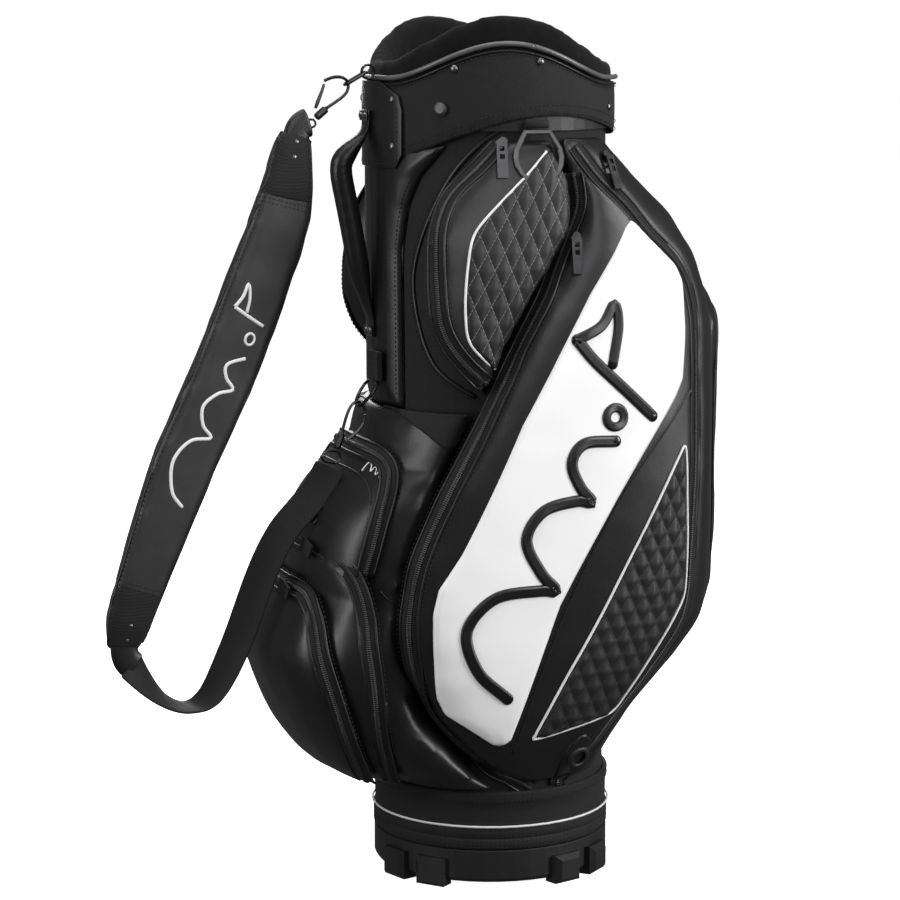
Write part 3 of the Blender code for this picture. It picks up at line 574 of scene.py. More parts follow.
def zipper(name, tree, stations):
    """Tape, coil, welts and two rows of stitches along a seam."""
    line = laid(tree, stations)
    settle(name + "_tape", strip(line, flat_tape(TAPE_WIDTH, 0.0012, 0.0006)), TAPE)
    settle(name + "_coil", strip(line, flat_tape(COIL_WIDTH, 0.0026, 0.0014)), COIL)
    settle(name + "_welts", joined(*(strip(shifted(line, edge), round_bead(WELT_RADIUS, 0.0008))
                                     for edge in (TAPE_WIDTH / 2, -TAPE_WIDTH / 2))), BLACK_LEATHER)
    wide = laid(tree, stations, 0.0, STITCH_PITCH)
    rows = [shifted(wide, ROW_OFF_CENTRE), shifted(wide, -ROW_OFF_CENTRE)]
    stitches(name + "_stitches", rows, BLACK_THREAD)


def thread_material(name, colour, slot="black_nylon"):
    made, shader, place = finish(name, slot, Specular_IOR_Level=0.4)
    twist = place.clouds(2400.0, 1.0)
    light = [min(value * 1.6 + 0.01, 1.0) for value in colour]
    feed(shader, Base_Color=twist.tint(colour, light), Roughness=0.5 + twist * 0.2)
    return made


BLACK_THREAD = thread_material("black_thread", (0.006, 0.006, 0.0063))
STITCH, STITCH_GAP, THREAD = 0.0034, 0.0014, 0.00042
STITCH_PITCH = STITCH + STITCH_GAP


def stitches(name, lines, material, body="bag"):
    """Rows of single stitches, each a small bead lying on the surface."""
    made = bmesh.new()
    for line in lines:
        for i in range(len(line) - 1):
            (place, normal), (after, _n) = line[i], line[i + 1]
            ahead = after - place
            if ahead.length < 0.0005:
                continue
            across = ahead.cross(normal).normalized()
            along = ahead.normalized()
            half = ahead.length * STITCH / (STITCH + STITCH_GAP) / 2
            turn = Matrix((along * half, across * THREAD, along.cross(across) * THREAD)).transposed().to_4x4()
            bmesh.ops.create_icosphere(made, subdivisions=1, radius=1.0,
                                       matrix=Matrix.Translation((place + after) / 2 + normal * THREAD * 0.6)
                                       @ turn)
    bmesh.ops.recalc_face_normals(made, faces=made.faces)
    return settle(name, made, material, body=body)


side = outside_of(SOFT["apparel_pocket_right"])
upper = outside_of(SOFT["upper_pocket_right"])
down_to_tube = outside_of(SOFT["apparel_pocket_right"], TUBE)
zipper("upper_zip", outside_of(SOFT["upper_pocket_right"], TUBE), UPPER_ZIP)
zipper("apparel_zip", down_to_tube, MAIN_ZIP)
zipper("rear_zip", down_to_tube, REAR_ZIP)
zipper("ball_zip", outside_of(SOFT["ball_pocket"]), BALL_ZIP)
zipper("accessory_zip", outside_of(SOFT["accessory_pocket"]), ACCESSORY_ZIP)


# ---- Gussets
# The upper pocket sits in a folded nylon gusset whose two seams curve round in front of its zip.
tube = outside_of(TUBE)
GUSSET_BEAD = 0.0013
GUSSET_OUTER = ((-12.0, 0.787), (-20.0, 0.779), (-36.5, 0.745), (-49.3, 0.701), (-57.3, 0.663),
                (-60.5, 0.627), (-56.3, 0.581), (-48.4, 0.546), (-38.1, 0.528), (-27.1, 0.515))
GUSSET_INNER = ((-10.0, 0.771), (-29.3, 0.737), (-40.5, 0.705), (-45.6, 0.664), (-46.6, 0.623),
                (-45.0, 0.593), (-40.6, 0.563), (-33.0, 0.543))
settle("gusset_welts", joined(
    strip(laid(tube, GUSSET_OUTER, 0.0004), flat_tape(0.0050, 0.0022, 0.0004)),
    strip(laid(tube, GUSSET_INNER, 0.0004), round_bead(GUSSET_BEAD)),
    *(strip(laid(tube, over_to_left(stations), 0.0004), round_bead(GUSSET_BEAD))
      for stations in (GUSSET_OUTER, GUSSET_INNER))), BLACK_LEATHER)
stitches("gusset_stitches", [shifted(laid(tube, GUSSET_OUTER, 0.0002, STITCH_PITCH), 0.0048)], BLACK_THREAD)


# ---- Valuables pocket
# A foam-backed leather pouch sewn flat on the front, with its zip just inside its edge and an arched
# seam across its cap.
def edge_at(edge, height):
    """The angle of an outline's edge at a height."""
    heights = [h for h, _a in edge]
    return float(numpy.interp(height, heights, [a for _h, a in edge]))


PANEL_RADIUS = 0.17


def patch(tree, front_edge, rear_edge, cell, thick, crown, rim, quilt=None):
    """A sewn-on panel: flat at its rim, swelling towards the middle."""
    low, high = front_edge[0][0], front_edge[-1][0]
    rows = max(int((high - low) / cell), 4)
    widest = max(abs(edge_at(rear_edge, h) - edge_at(front_edge, h)) for h, _a in front_edge + rear_edge)
    columns = max(int(math.radians(widest) * PANEL_RADIUS / cell), 4)
    made = bmesh.new()
    bmesh.ops.create_grid(made, x_segments=columns, y_segments=rows, size=1.0)
    flat = {}
    for vertex in made.verts:
        s, t = (vertex.co.x + 1) / 2, (vertex.co.y + 1) / 2
        height = low + (high - low) * t
        first, last = edge_at(front_edge, height), edge_at(rear_edge, height)
        angle = first + (last - first) * s
        near = min(s, 1 - s) * math.radians(last - first) * PANEL_RADIUS
        near = min(near, t * (high - low), (1 - t) * (high - low))
        flat[vertex] = (spot_on(tree, angle, height), max(near, 0.0))
    lost = [v for v, (hit, _near) in flat.items() if hit is None]
    for vertex, (hit, near) in flat.items():
        if hit is None:
            continue
        place, normal = hit
        swell = 1 - (1 - min(near / rim, 1.0)) ** 2
        out = thick * min(near / 0.002, 1.0) + crown * swell - 0.0006
        if quilt:
            out += quilt(place) * min(near / 0.004, 1.0)
        vertex.co = place + normal * out
    bmesh.ops.delete(made, geom=lost, context="VERTS")
    bmesh.ops.recalc_face_normals(made, faces=made.faces)
    return made


PANEL_BACK = -0.0012


def closed_back(made, thick=PANEL_BACK):
    """Gives an open panel its back."""
    if sum((face.normal.dot(face.calc_center_median()) for face in made.faces)) < 0:
        bmesh.ops.reverse_faces(made, faces=made.faces)
    bmesh.ops.solidify(made, geom=list(made.faces), thickness=thick)
    bmesh.ops.recalc_face_normals(made, faces=made.faces)
    return made


body_front = outside_of(SOFT["front_body"])
POUCH_HALF = ((0.330, 32.0), (0.345, 34.6), (0.379, 36.6), (0.405, 37.4), (0.430, 37.0), (0.446, 34.8),
              (0.456, 29.5), (0.462, 20.0), (0.465, 8.0))
pouch = settle("valuables_pocket_leather", closed_back(
    patch(body_front, tuple((h, -90 - a) for h, a in POUCH_HALF), tuple((h, -90 + a) for h, a in POUCH_HALF),
          0.0042, 0.0022, 0.0070, 0.016), -0.002), BLACK_LEATHER, "valuables_pocket")
finer(pouch)
pouch_tree = outside_of(pouch, SOFT["front_body"])
zipper("valuables_zip", pouch_tree, VALUABLES_ZIP)
CAP_SEAM = both_ends(((-57.6, 0.412), (-61.7, 0.427), (-70.5, 0.436), (-80, 0.438)))
stitches("valuables_cap_stitches", [laid(pouch_tree, CAP_SEAM, 0.0003, STITCH_PITCH)], BLACK_THREAD)
settle("valuables_cap_seam", strip(laid(pouch_tree, CAP_SEAM, 0.0002), round_bead(0.0010)), BLACK_LEATHER)


# ---- Rear pocket
# A plain padded box of leather with a welted and stitched seam round its face.
REAR_SEAM = ((74.0, 0.200), (72.3, 0.250), (71.5, 0.310), (71.5, 0.500), (74.0, 0.575), (82.0, 0.598),
             (90.0, 0.600), (98.0, 0.598), (106.0, 0.575), (108.5, 0.500), (108.5, 0.310), (107.7, 0.250),
             (106.0, 0.200), (98.0, 0.188), (90.0, 0.186), (82.0, 0.188))
rear = outside_of(SOFT["rear_pocket"])
settle("rear_pocket_welt", strip(laid(rear, REAR_SEAM, 0.0004, 0.004, True, 5), round_bead(0.0017), True),
       BLACK_LEATHER)
stitches("rear_pocket_stitches", [shifted(laid(rear, REAR_SEAM, 0.0002, STITCH_PITCH, True, 5), 0.0045)],
         BLACK_THREAD)


# ---- Front yoke
# A strip of nylon between the main zip and the leather front, under a welted seam that rises to the
# spine, and a short seam beside the ball pocket.
YOKE_FRONT = ((0.463, -35.5), (0.481, -46.0), (0.494, -57.0), (0.499, -66.0))
YOKE_REAR = ((0.463, -34.0), (0.481, -30.2), (0.494, -29.5), (0.499, -29.5))
YOKE_SHAPE = (0.003, 0.0014, 0.0006, 0.004)
yoke = joined(closed_back(patch(body_front, YOKE_FRONT, YOKE_REAR, *YOKE_SHAPE)),
              closed_back(patch(body_front, tuple((h, -180 - a) for h, a in YOKE_REAR),
                                tuple((h, -180 - a) for h, a in YOKE_FRONT), *YOKE_SHAPE)))
settle("front_yoke", yoke, BALLISTIC)
YOKE_SEAM = ((-77, 0.4985), (-66, 0.4985), (-57, 0.494), (-46, 0.4815), (-35.0, 0.4625))
SHORT_SEAM = ((-54.0, 0.323), (-50.5, 0.309), (-46.9, 0.297))
settle("front_body_welts", joined(
    *(strip(laid(body_front, stations, 0.0006), round_bead(0.0015))
      for stations in (YOKE_SEAM, over_to_left(YOKE_SEAM))),
    strip(laid(body_front, SHORT_SEAM, 0.0002), round_bead(0.0011))), BLACK_LEATHER)


# ---- White panels and quilted insets
# The white panel is foam-backed white leather, raised a little inside a stitched channel. The
# insets are sewn in diamonds, nylon above and leather below, edged with white piping.
PANEL_FRONT = ((0.161, -16.5), (0.163, -19), (0.197, -35.2), (0.214, -37.1), (0.304, -36.6), (0.329, -35.0),
               (0.364, -28.4), (0.492, -8.5), (0.620, 17), (0.686, 32.6), (0.692, 35.0))
PANEL_REAR = ((0.161, -16.0), (0.166, -12.5), (0.306, 5), (0.514, 44), (0.530, 46.3), (0.630, 49.0),
              (0.645, 48), (0.686, 37.4), (0.692, 35.4))
LOWER_FRONT = ((0.167, -2.2), (0.175, -1.6), (0.287, 19.8), (0.452, 45.2), (0.458, 46.6))
LOWER_REAR = ((0.167, -1.2), (0.187, 27.8), (0.195, 29.6), (0.297, 47.0), (0.310, 48.0), (0.452, 47.0),
              (0.458, 46.8))
UPPER_FRONT = ((0.548, -18.4), (0.575, -26.2), (0.590, -27.4), (0.619, -27.9), (0.659, -27.0), (0.686, -25.0),
               (0.714, -16.2), (0.746, -3.3), (0.764, 3.8))
UPPER_REAR = ((0.548, -17.6), (0.568, -15.5), (0.637, 0.5), (0.662, 8.0), (0.690, 13.4), (0.715, 14.8),
              (0.740, 11.5), (0.764, 6.0))
UPPER_DIAMOND, LOWER_DIAMOND = (0.0178, 0.0350), (0.0178, 0.0310)
DIAMOND_LEAN = 0.124


def diamond_rise(place, size, height):
    u, v = (place.y - place.z * DIAMOND_LEAN) / size[0], place.z / size[1]
    a = abs((u + v + 0.5) % 1.0 - 0.5) * 2
    b = abs((u - v + 0.5) % 1.0 - 0.5) * 2
    return height * min(a, b) ** 0.55


def quilted(name, slot, base, size, dark, light, thread_colour, thread_share):
    """The finish of the diamonds: cloth or leather with a thread along each line."""
    made, shader, place = finish(name, slot, Specular_IOR_Level=0.4)
    u, v = (place.part("Y") - place.part("Z") * DIAMOND_LEAN) / size[0], place.part("Z") / size[1]
    near = (u + v).math("PINGPONG", 0.5).math("MINIMUM", (u - v).math("PINGPONG", 0.5)) * 2
    stitch = near.math("LESS_THAN", thread_share)
    down_the_row = (place.part("Z") + place.part("Y") * 0.3) / 0.0042
    dash = down_the_row.math("PINGPONG", 0.5).math("GREATER_THAN", 0.12)
    line = stitch * dash
    grain = place.clouds(base, 3.0)
    colour = place.node("ShaderNodeMix", {"data_type": "RGBA"},
                        {0: line, 6: grain.tint(dark, light), 7: (*thread_colour, 1)}, 2)
    feed(shader, Base_Color=colour, Roughness=0.46 + grain * 0.14,
         Normal=(grain * 0.6 + line * 1.4).raised(0.0004, 0.5))
    return made


QUILT_NYLON = quilted("quilted_nylon", "black_nylon", 900.0, UPPER_DIAMOND, (0.0035, 0.0034, 0.0036),
                      (0.013, 0.0127, 0.013), (0.20, 0.20, 0.205), 0.030)
QUILT_LEATHER = quilted("quilted_leather", "black_leather", 500.0, LOWER_DIAMOND, (0.0045, 0.0043, 0.0046),
                        (0.0125, 0.012, 0.0125), (0.030, 0.030, 0.031), 0.035)

white_panel = settle("white_panel_right_soft",
                     closed_back(patch(side, PANEL_FRONT, PANEL_REAR, 0.0032, 0.0016, 0.0022, 0.020)),
                     WHITE_LEATHER, "white_panel_right")
settle("lower_quilt_right", closed_back(
    patch(side, LOWER_FRONT, LOWER_REAR, 0.0021, 0.0008, 0.0008, 0.010,
          lambda p: diamond_rise(p, LOWER_DIAMOND, 0.0034))), QUILT_LEATHER)
settle("upper_quilt_right", closed_back(
    patch(upper, UPPER_FRONT, UPPER_REAR, 0.0021, 0.0008, 0.0008, 0.010,
          lambda p: diamond_rise(p, UPPER_DIAMOND, 0.0024))), QUILT_NYLON)


def piping_material():
    made, shader, place = finish("white_piping", "piping", Specular_IOR_Level=0.5)
    soil = place.clouds(60.0, 3.0)
    feed(shader, Base_Color=soil.tint((0.62, 0.62, 0.63), (0.80, 0.80, 0.80)), Roughness=0.38 + soil * 0.2)
    return made


WHITE_PIPING = piping_material()
PIPING_RADIUS = 0.0014
LOWER_PIPING = ((-2.5, 0.166), (13, 0.175), (28.5, 0.186), (30.6, 0.193), (39, 0.242), (46.8, 0.293),
                (48.2, 0.303), (48.0, 0.35), (47.4, 0.41), (46.8, 0.458), (45.4, 0.455), (33, 0.372),
                (19.0, 0.286), (8, 0.229), (-2.2, 0.174))
lower_piping = laid(side, LOWER_PIPING, 0.001, 0.003, True, 6)
settle("lower_piping_right", strip(lower_piping, round_bead(PIPING_RADIUS), True), WHITE_PIPING)
upper_piping = laid(upper, [(a, h) for h, a in UPPER_FRONT[::-1]], 0.001, 0.003)
settle("upper_piping_right", strip(upper_piping, round_bead(PIPING_RADIUS)), WHITE_PIPING)


# ---- Raised mark on the white panel
# A ball's flight in three bounces towards a flag, in glossy black raised embroidery with a
# shallow groove down the middle of every stroke.
EMBROIDERY, embroidery_shader, embroidery_place = finish("raised_embroidery", "black_leather", "UV",
                                                         Specular_IOR_Level=0.5)
satin = (embroidery_place.part("Y") / 0.0011).math("PINGPONG", 0.5)
feed(embroidery_shader, Base_Color=satin.tint((0.002, 0.002, 0.002), (0.006, 0.006, 0.006)),
     Roughness=0.24 + satin * 0.16, Normal=satin.raised(0.0005, 0.5))
panel_tree = outside_of(white_panel)
MARK_LOW, MARK_HIGH = Vector((-0.062, 0.222)), Vector((0.112, 0.600))
MARK_ALONG = (MARK_HIGH - MARK_LOW).normalized()
MARK_UP = Vector((-MARK_ALONG.y, MARK_ALONG.x))
MARK_LENGTH = (MARK_HIGH - MARK_LOW).length


def on_panel(along, up):
    """A place on the white panel, along and across its long diagonal, both as shares of its length."""
    flat = MARK_LOW + MARK_ALONG * along * MARK_LENGTH + MARK_UP * up * MARK_LENGTH
    place, normal, _face, _far = panel_tree.ray_cast(Vector((0.4, flat.x, flat.y)), Vector((-1, 0, 0)))
    return (place, normal) if place else None


def standing(place, way):
    return Matrix.Translation(place) @ way.to_track_quat("Z", "Y").to_matrix().to_4x4()


def stroke(points, width, closed=False):
    hits = [on_panel(*p) for p in rounded(points, closed, 10)]
    hits = [hit for hit in hits if hit]
    if closed:
        hits.append(hits[0])
    line = even_spacing(hits, 0.003)
    w = width / 2
    section = [(-w, 0.0), (-w * 0.82, 0.0017), (-w * 0.45, 0.0024), (0.0, 0.0016), (w * 0.45, 0.0024),
               (w * 0.82, 0.0017), (w, 0.0), (0.0, -0.0008)]
    made = strip(line, section, closed)
    if not closed:
        for place, normal in (line[0], line[-1]):
            bmesh.ops.create_uvsphere(made, u_segments=20, v_segments=8, radius=w,
                                      matrix=standing(place, normal) @ Matrix.Diagonal((1, 1, 0.35, 1)))
    return made


STROKE = 0.0125
BOUNCES = ((0.0, -0.055), (0.035, 0.045), (0.115, 0.115), (0.215, 0.085), (0.275, -0.015), (0.290, -0.055),
           (0.315, 0.000), (0.375, 0.070), (0.455, 0.060), (0.510, -0.010), (0.522, -0.050), (0.545, -0.005),
           (0.590, 0.040), (0.645, 0.030), (0.682, -0.045))
FLAG_POLE = ((0.775, -0.115), (0.805, -0.02), (0.838, 0.085), (0.868, 0.150))
FLAG_CLOTH = ((0.868, 0.150), (0.925, 0.105), (0.985, 0.095), (0.945, 0.065), (0.872, 0.045), (0.850, 0.040))
EIGHTHS = [k * math.pi / 4 for k in range(8)]
BALL = [(0.735 + 0.024 * math.cos(t), -0.020 + 0.024 * math.sin(t)) for t in EIGHTHS]
mark = joined(stroke(BOUNCES, STROKE), stroke(FLAG_POLE, STROKE), stroke(FLAG_CLOTH, STROKE * 0.9),
              stroke(BALL, STROKE * 0.8, True))
settle("raised_mark_right", mark, EMBROIDERY)


# ---- Stitching round the panels
# Double rows of black thread hold the panels down in their channels.
def outline(front_edge, rear_edge):
    return [(a, h) for h, a in front_edge] + [(a, h) for h, a in reversed(rear_edge)]


panel_ring = laid(side, outline(PANEL_FRONT, PANEL_REAR), 0.0004, STITCH_PITCH, True, 4)
quilt_ring = laid(side, outline(LOWER_FRONT, LOWER_REAR), 0.0004, STITCH_PITCH, True, 4)
DIAGONAL_SEAM = ((50.0, 0.520), (35.5, 0.455), (24.0, 0.400), (10.0, 0.316), (-3.0, 0.222), (-11.0, 0.150))
diagonal = laid(side, DIAGONAL_SEAM, 0.0002, STITCH_PITCH)
stitches("panel_stitches_right", [shifted(panel_ring, 0.0040), shifted(quilt_ring, 0.0044),
                                  shifted(diagonal, 0.0030)], BLACK_THREAD)
settle("diagonal_seam_right", strip(laid(side, DIAGONAL_SEAM, 0.0002), round_bead(0.0011)), BLACK_LEATHER)
UMBRELLA_FRONT = ((0.116, 11.0), (0.140, 10.5), (0.155, 12.5), (0.165, 17.0))
UMBRELLA_REAR = ((0.116, 26.0), (0.140, 25.5), (0.155, 23.0), (0.165, 18.0))
settle("umbrella_patch_right", closed_back(patch(side, UMBRELLA_FRONT, UMBRELLA_REAR, 0.0022, 0.0012, 0.0004,
                                                 0.004)), BLACK_LEATHER)
umbrella_ring = laid(side, outline(UMBRELLA_FRONT, UMBRELLA_REAR), 0.0012, 0.0034, True, 4)
stitches("umbrella_stitches_right", [shifted(umbrella_ring, -0.0026)], BLACK_THREAD)


# ---- Left side
# The same pockets, panels and zips again, the other way round.
def mirrored(name, *stands_for):
    """The piece of this name again on the left."""
    piece = bpy.data.objects[name]
    data = piece.data.copy()
    data.transform(Matrix.Diagonal((-1, 1, 1, 1)))
    data.flip_normals()
    twin = bpy.data.objects.new(name.replace("right", "left") if "right" in name else name + "_left", data)
    scene.collection.objects.link(twin)
    if piece.modifiers:
        finer(twin)
    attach(twin, "bag")
    if stands_for:
        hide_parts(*stands_for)
    return twin


for node in ("apparel_pocket", "upper_pocket"):
    mirrored(f"{node}_right_soft", f"{node}_left")
mirrored("white_panel_right_soft", "white_panel_left")
for name in ("lower_quilt", "upper_quilt", "lower_piping", "upper_piping", "panel_stitches", "diagonal_seam"):
    mirrored(name + "_right")
for name in ("upper_zip", "apparel_zip", "rear_zip"):
    for layer in ("_tape", "_coil", "_welts", "_stitches"):
        mirrored(name + layer)
mirrored("raised_mark_right")


# ---- Boot
# A nylon sleeve over the foot of the tube: a folded binding at its top, a line of white piping, and
# two bands of ribbed webbing sewn on below it.
BOOT_PROFILE = ((0.1208, 0.0412), (0.1240, 0.0412), (0.1252, 0.0425), (0.1256, 0.0470), (0.1252, 0.0515),
                (0.1242, 0.0524), (0.1242, 0.0532), (0.1253, 0.0542), (0.1257, 0.0585), (0.1252, 0.0630),
                (0.1242, 0.0640), (0.1240, 0.0700), (0.1242, 0.0800), (0.1242, 0.0905), (0.1252, 0.0915),
                (0.1258, 0.0940), (0.1258, 0.1000), (0.1252, 0.1026), (0.1236, 0.1028), (0.1208, 0.1020))


def spun(profile, steps=96):
    """A closed ring turned round the upright axis."""
    made = bmesh.new()
    corners = [made.verts.new((r, 0, z)) for r, z in profile]
    edges = [made.edges.new((a, b)) for a, b in zip(corners, corners[1:] + corners[:1])]
    bmesh.ops.spin(made, geom=corners + edges, cent=(0, 0, 0), axis=(0, 0, 1), angle=2 * math.pi,
                   steps=steps, use_merge=True)
    bmesh.ops.recalc_face_normals(made, faces=made.faces)
    return made


settle("boot_sleeve_nylon", spun(BOOT_PROFILE), BALLISTIC, "boot_sleeve")
dress(WHITE_PIPING, "boot_piping")


def ring_line(radius, height, gap=STITCH_PITCH):
    """A line round the tube, whose height may change with the angle."""
    line = []
    for k in range(721):
        angle = k / 2
        way = Vector((math.cos(math.radians(angle)), math.sin(math.radians(angle)), 0))
        line.append((way * radius + Vector((0, 0, height(angle))), way))
    return even_spacing(line, gap)


stitches("boot_stitches", [ring_line(r, lambda _a, z=z: z) for r, z in
                           ((0.1254, 0.0436), (0.1254, 0.0504), (0.1254, 0.0552), (0.1254, 0.0618),
                            (0.1259, 0.0932), (0.1258, 0.1008))], BLACK_THREAD)


# ---- Collar
# The top cuff: a wide nylon band with a stitched hem that rises and falls round the bag, grey
# leather piping along its upper edge, and a fleece-covered foam roll over the rim.
HUMPS, HUMP_HALF = (-12, -168), 60


def collar_rise(angle):
    """The two humps of the rim, which stand a little forward of each side."""
    rise = 0.0
    for top in HUMPS:
        away = abs((angle - top + 180) % 360 - 180)
        if away < HUMP_HALF:
            rise += 0.5 + 0.5 * math.cos(math.pi * away / HUMP_HALF)
    return rise


def hem_height(angle):
    turn = math.radians(angle)
    return 0.7774 + 0.0141 * math.sin(turn) + 0.0183 * math.cos(2 * turn)


def piping_height(angle):
    return 0.836 + 0.035 * collar_rise(angle)


band = settle("collar_band_nylon", welded_copy("collar_band"), BALLISTIC, "collar_band")
finer(band, 2)
stitches("collar_stitches", [ring_line(0.1303, lambda a: hem_height(a) + 0.0045),
                             ring_line(0.1303, lambda a: hem_height(a) + 0.0125),
                             ring_line(0.1303, lambda a: piping_height(a) - 0.0100)], BLACK_THREAD)
GREY_PIPING, grey_shader, grey_place = finish("grey_piping", "piping", Specular_IOR_Level=0.6)
rub = grey_place.clouds(70.0, 3.0)
feed(grey_shader, Base_Color=rub.tint((0.055, 0.055, 0.058), (0.11, 0.11, 0.115)),
     Roughness=0.26 + rub * 0.16)
top_cord = strip(ring_line(0.1304, piping_height, 0.004), round_bead(0.0026, 0.0, 10))
settle("collar_piping_cord", top_cord, GREY_PIPING, "collar_piping")
low_cord = strip(ring_line(0.1302, lambda a: piping_height(a) - 0.0072, 0.004), round_bead(0.0011))
settle("collar_second_cord", low_cord, BLACK_LEATHER)

FLEECE, fleece_shader, fleece_place = finish("rim_fleece", "black_nylon", Specular_IOR_Level=0.1,
                                             Sheen_Weight=0.04, Sheen_Roughness=0.5)
pile = fleece_place.clouds(1300.0, 2.0)
tufts = fleece_place.clouds(120.0, 4.0)
feed(fleece_shader, Base_Color=tufts.tint((0.003, 0.003, 0.0032), (0.009, 0.0088, 0.009)),
     Roughness=0.86 + tufts * 0.1, Normal=pile.raised(0.0006, 0.6, tufts.raised(0.0014, 0.4)))
roll = foam_block("rim_padding", FLEECE, 0.0045)
shape = bmesh.new()
shape.from_mesh(roll.data)
smoothed(shape, 4)
shape.normal_update()
for vertex in shape.verts:
    pucker = noise.noise(vertex.co * 32) * 0.0016 + noise.noise(vertex.co * 75) * 0.0007
    vertex.co += vertex.normal * (0.0010 + pucker)
shape.to_mesh(roll.data)
shape.free()
roll.data.shade_smooth()
finer(roll)


# ---- Metal
# Snap hooks, rings, rivets, sliders and their pullers are zinc castings in a dark gunmetal
# plating that is polished a little brighter where it rubs.
def plated(name, dark, light, roughness):
    made, shader, place = finish(name, "gunmetal", Metallic=1.0)
    rub = place.clouds(90.0, 4.0)
    pits = place.clouds(1500.0, 2.0)
    feed(shader, Base_Color=rub.tint(dark, light), Roughness=roughness - 0.06 + rub * 0.14,
         Normal=pits.raised(0.0001, 0.3))
    return made


GUNMETAL = plated("gunmetal", (0.035, 0.035, 0.037), (0.085, 0.085, 0.09), 0.34)
BRIGHT_RIVET = plated("worn_rivet", (0.10, 0.10, 0.105), (0.24, 0.24, 0.25), 0.30)
dress(GUNMETAL, "top_hook", "top_hook_gate", "top_swivel_loop", "top_eye", "top_link", "lower_hook",
      "lower_hook_gate", "lower_swivel_loop", "lower_ring", "ladder_buckle",
      *(n for n in NODES if n.endswith("_slider")),
      *(n for n in NODES if n.endswith("_puller") and n.split("_")[0] in ("upper", "apparel", "rear")))
RUBBED_RING = plated("rubbed_ring", (0.06, 0.06, 0.062), (0.14, 0.14, 0.145), 0.46)
dress(RUBBED_RING, "towel_ring")
dress(BRIGHT_RIVET, "handle_rivets_top", "handle_rivets_bottom")
dress(RUBBED_RING, "hood_stud_right", "hood_stud_left")
dress(TAPE, "ball_zip_puller", "accessory_zip_puller")
DOME, WASHER = 0.42, 0.0007


def rivets(name, spots, radius, body="bag"):
    """Domed heads, each given as its place and the way it faces."""
    made = bmesh.new()
    for place, way in spots:
        bmesh.ops.create_uvsphere(made, u_segments=16, v_segments=8, radius=radius,
                                  matrix=standing(place, way) @ Matrix.Diagonal((1, 1, DOME, 1)))
        bmesh.ops.create_cone(made, cap_ends=True, segments=20, radius1=radius * 1.25,
                              radius2=radius * 1.15, depth=WASHER, matrix=standing(place, way))
    settle(name, made, BRIGHT_RIVET, body=body)


def round_bag(angle, radius, height):
    way = Vector((math.cos(math.radians(angle)), math.sin(math.radians(angle)), 0))
    return way * radius + Vector((0, 0, height)), way


rivets("collar_snaps", [round_bag(-36, 0.1308, 0.846), round_bag(3, 0.1308, 0.853),
                        round_bag(50, 0.1308, 0.806), round_bag(-144, 0.1308, 0.846),
                        round_bag(177, 0.1308, 0.853), round_bag(130, 0.1308, 0.806)], 0.0032)


# ---- Shoulder tab and spine
# Stiff leather sewn and riveted over the collar under the strap's eye, and a padded leather
# panel down the spine that spreads out under the collar.
def rounded_copy(node, name, material, width):
    made = welded_copy(node)
    sharp = [e for e in made.edges if len(e.link_faces) == 2 and e.calc_face_angle(0.0) > 0.7]
    bmesh.ops.bevel(made, geom=sharp, offset=width, affect="EDGES", segments=2, profile=0.5, material=-1,
                    clamp_overlap=True)
    return settle(name, made, material, node)


rounded_copy("shoulder_tab", "shoulder_tab_leather", BLACK_LEATHER, 0.0007)
TAB_EDGE = ((-65.5, 0.752), (-65.0, 0.780), (-65.0, 0.812), (-75.0, 0.825), (-90.0, 0.8285),
            (-105.0, 0.825), (-115.0, 0.812), (-115.0, 0.780), (-114.5, 0.752), (-105.0, 0.749),
            (-90.0, 0.749), (-75.0, 0.749))
tab_tree = outside_of(bpy.data.objects["shoulder_tab_leather"])
stitches("tab_stitches", [laid(tab_tree, TAB_EDGE, 0.0003, STITCH_PITCH, True, 6)], BLACK_THREAD)
rivets("tab_rivets", [round_bag(a, 0.1340, h) for a in (-68.5, -111.5) for h in (0.814, 0.767)], 0.0034)

rounded_copy("towel_loop", "towel_loop_webbing", TAPE, 0.0022)
SPINE_FRONT = ((0.500, -112.5), (0.660, -111.8), (0.706, -116), (0.738, -124), (0.769, -138))
SPINE_REAR = tuple((h, -180 - a) for h, a in SPINE_FRONT)
spine = settle("spine_panel_leather", closed_back(patch(tube, SPINE_FRONT, SPINE_REAR, 0.0035, 0.0030,
                                                        0.0052, 0.030), -0.003),
               BLACK_LEATHER, "spine_panel")
spine_tree = outside_of(spine)
SPINE_SEAM = ((-69.2, 0.512), (-69.6, 0.600), (-69.4, 0.660), (-65.5, 0.706), (-58.0, 0.738), (-46.0, 0.764))
stitches("spine_stitches", [laid(spine_tree, seam, 0.0003, STITCH_PITCH)
                            for seam in (SPINE_SEAM, over_to_left(SPINE_SEAM))], BLACK_THREAD)
settle("spine_welts", strip(laid(tube, [(a + 2.2, h) for a, h in SPINE_SEAM], 0.0006),
                            round_bead(0.0016)), BLACK_LEATHER)


# ---- Lift handle
# A foam-filled leather tube, sewn closed along its back, with flat riveted ends.
GRIP_FOAM, GRIP_FOOT, GRIP_HEAD = 0.0026, 0.612, 0.776
grip_shape = welded_copy("lift_handle")
grip_shape.normal_update()
for vertex in grip_shape.verts:
    above = min(max((vertex.co.z - GRIP_FOOT) / 0.03, 0.0), 1.0)
    below = min(max((GRIP_HEAD - vertex.co.z) / 0.02, 0.0), 1.0)
    vertex.co += vertex.normal * GRIP_FOAM * above * below
grip = settle("lift_handle_leather", grip_shape, BLACK_LEATHER, "lift_handle")
finer(grip, 2)


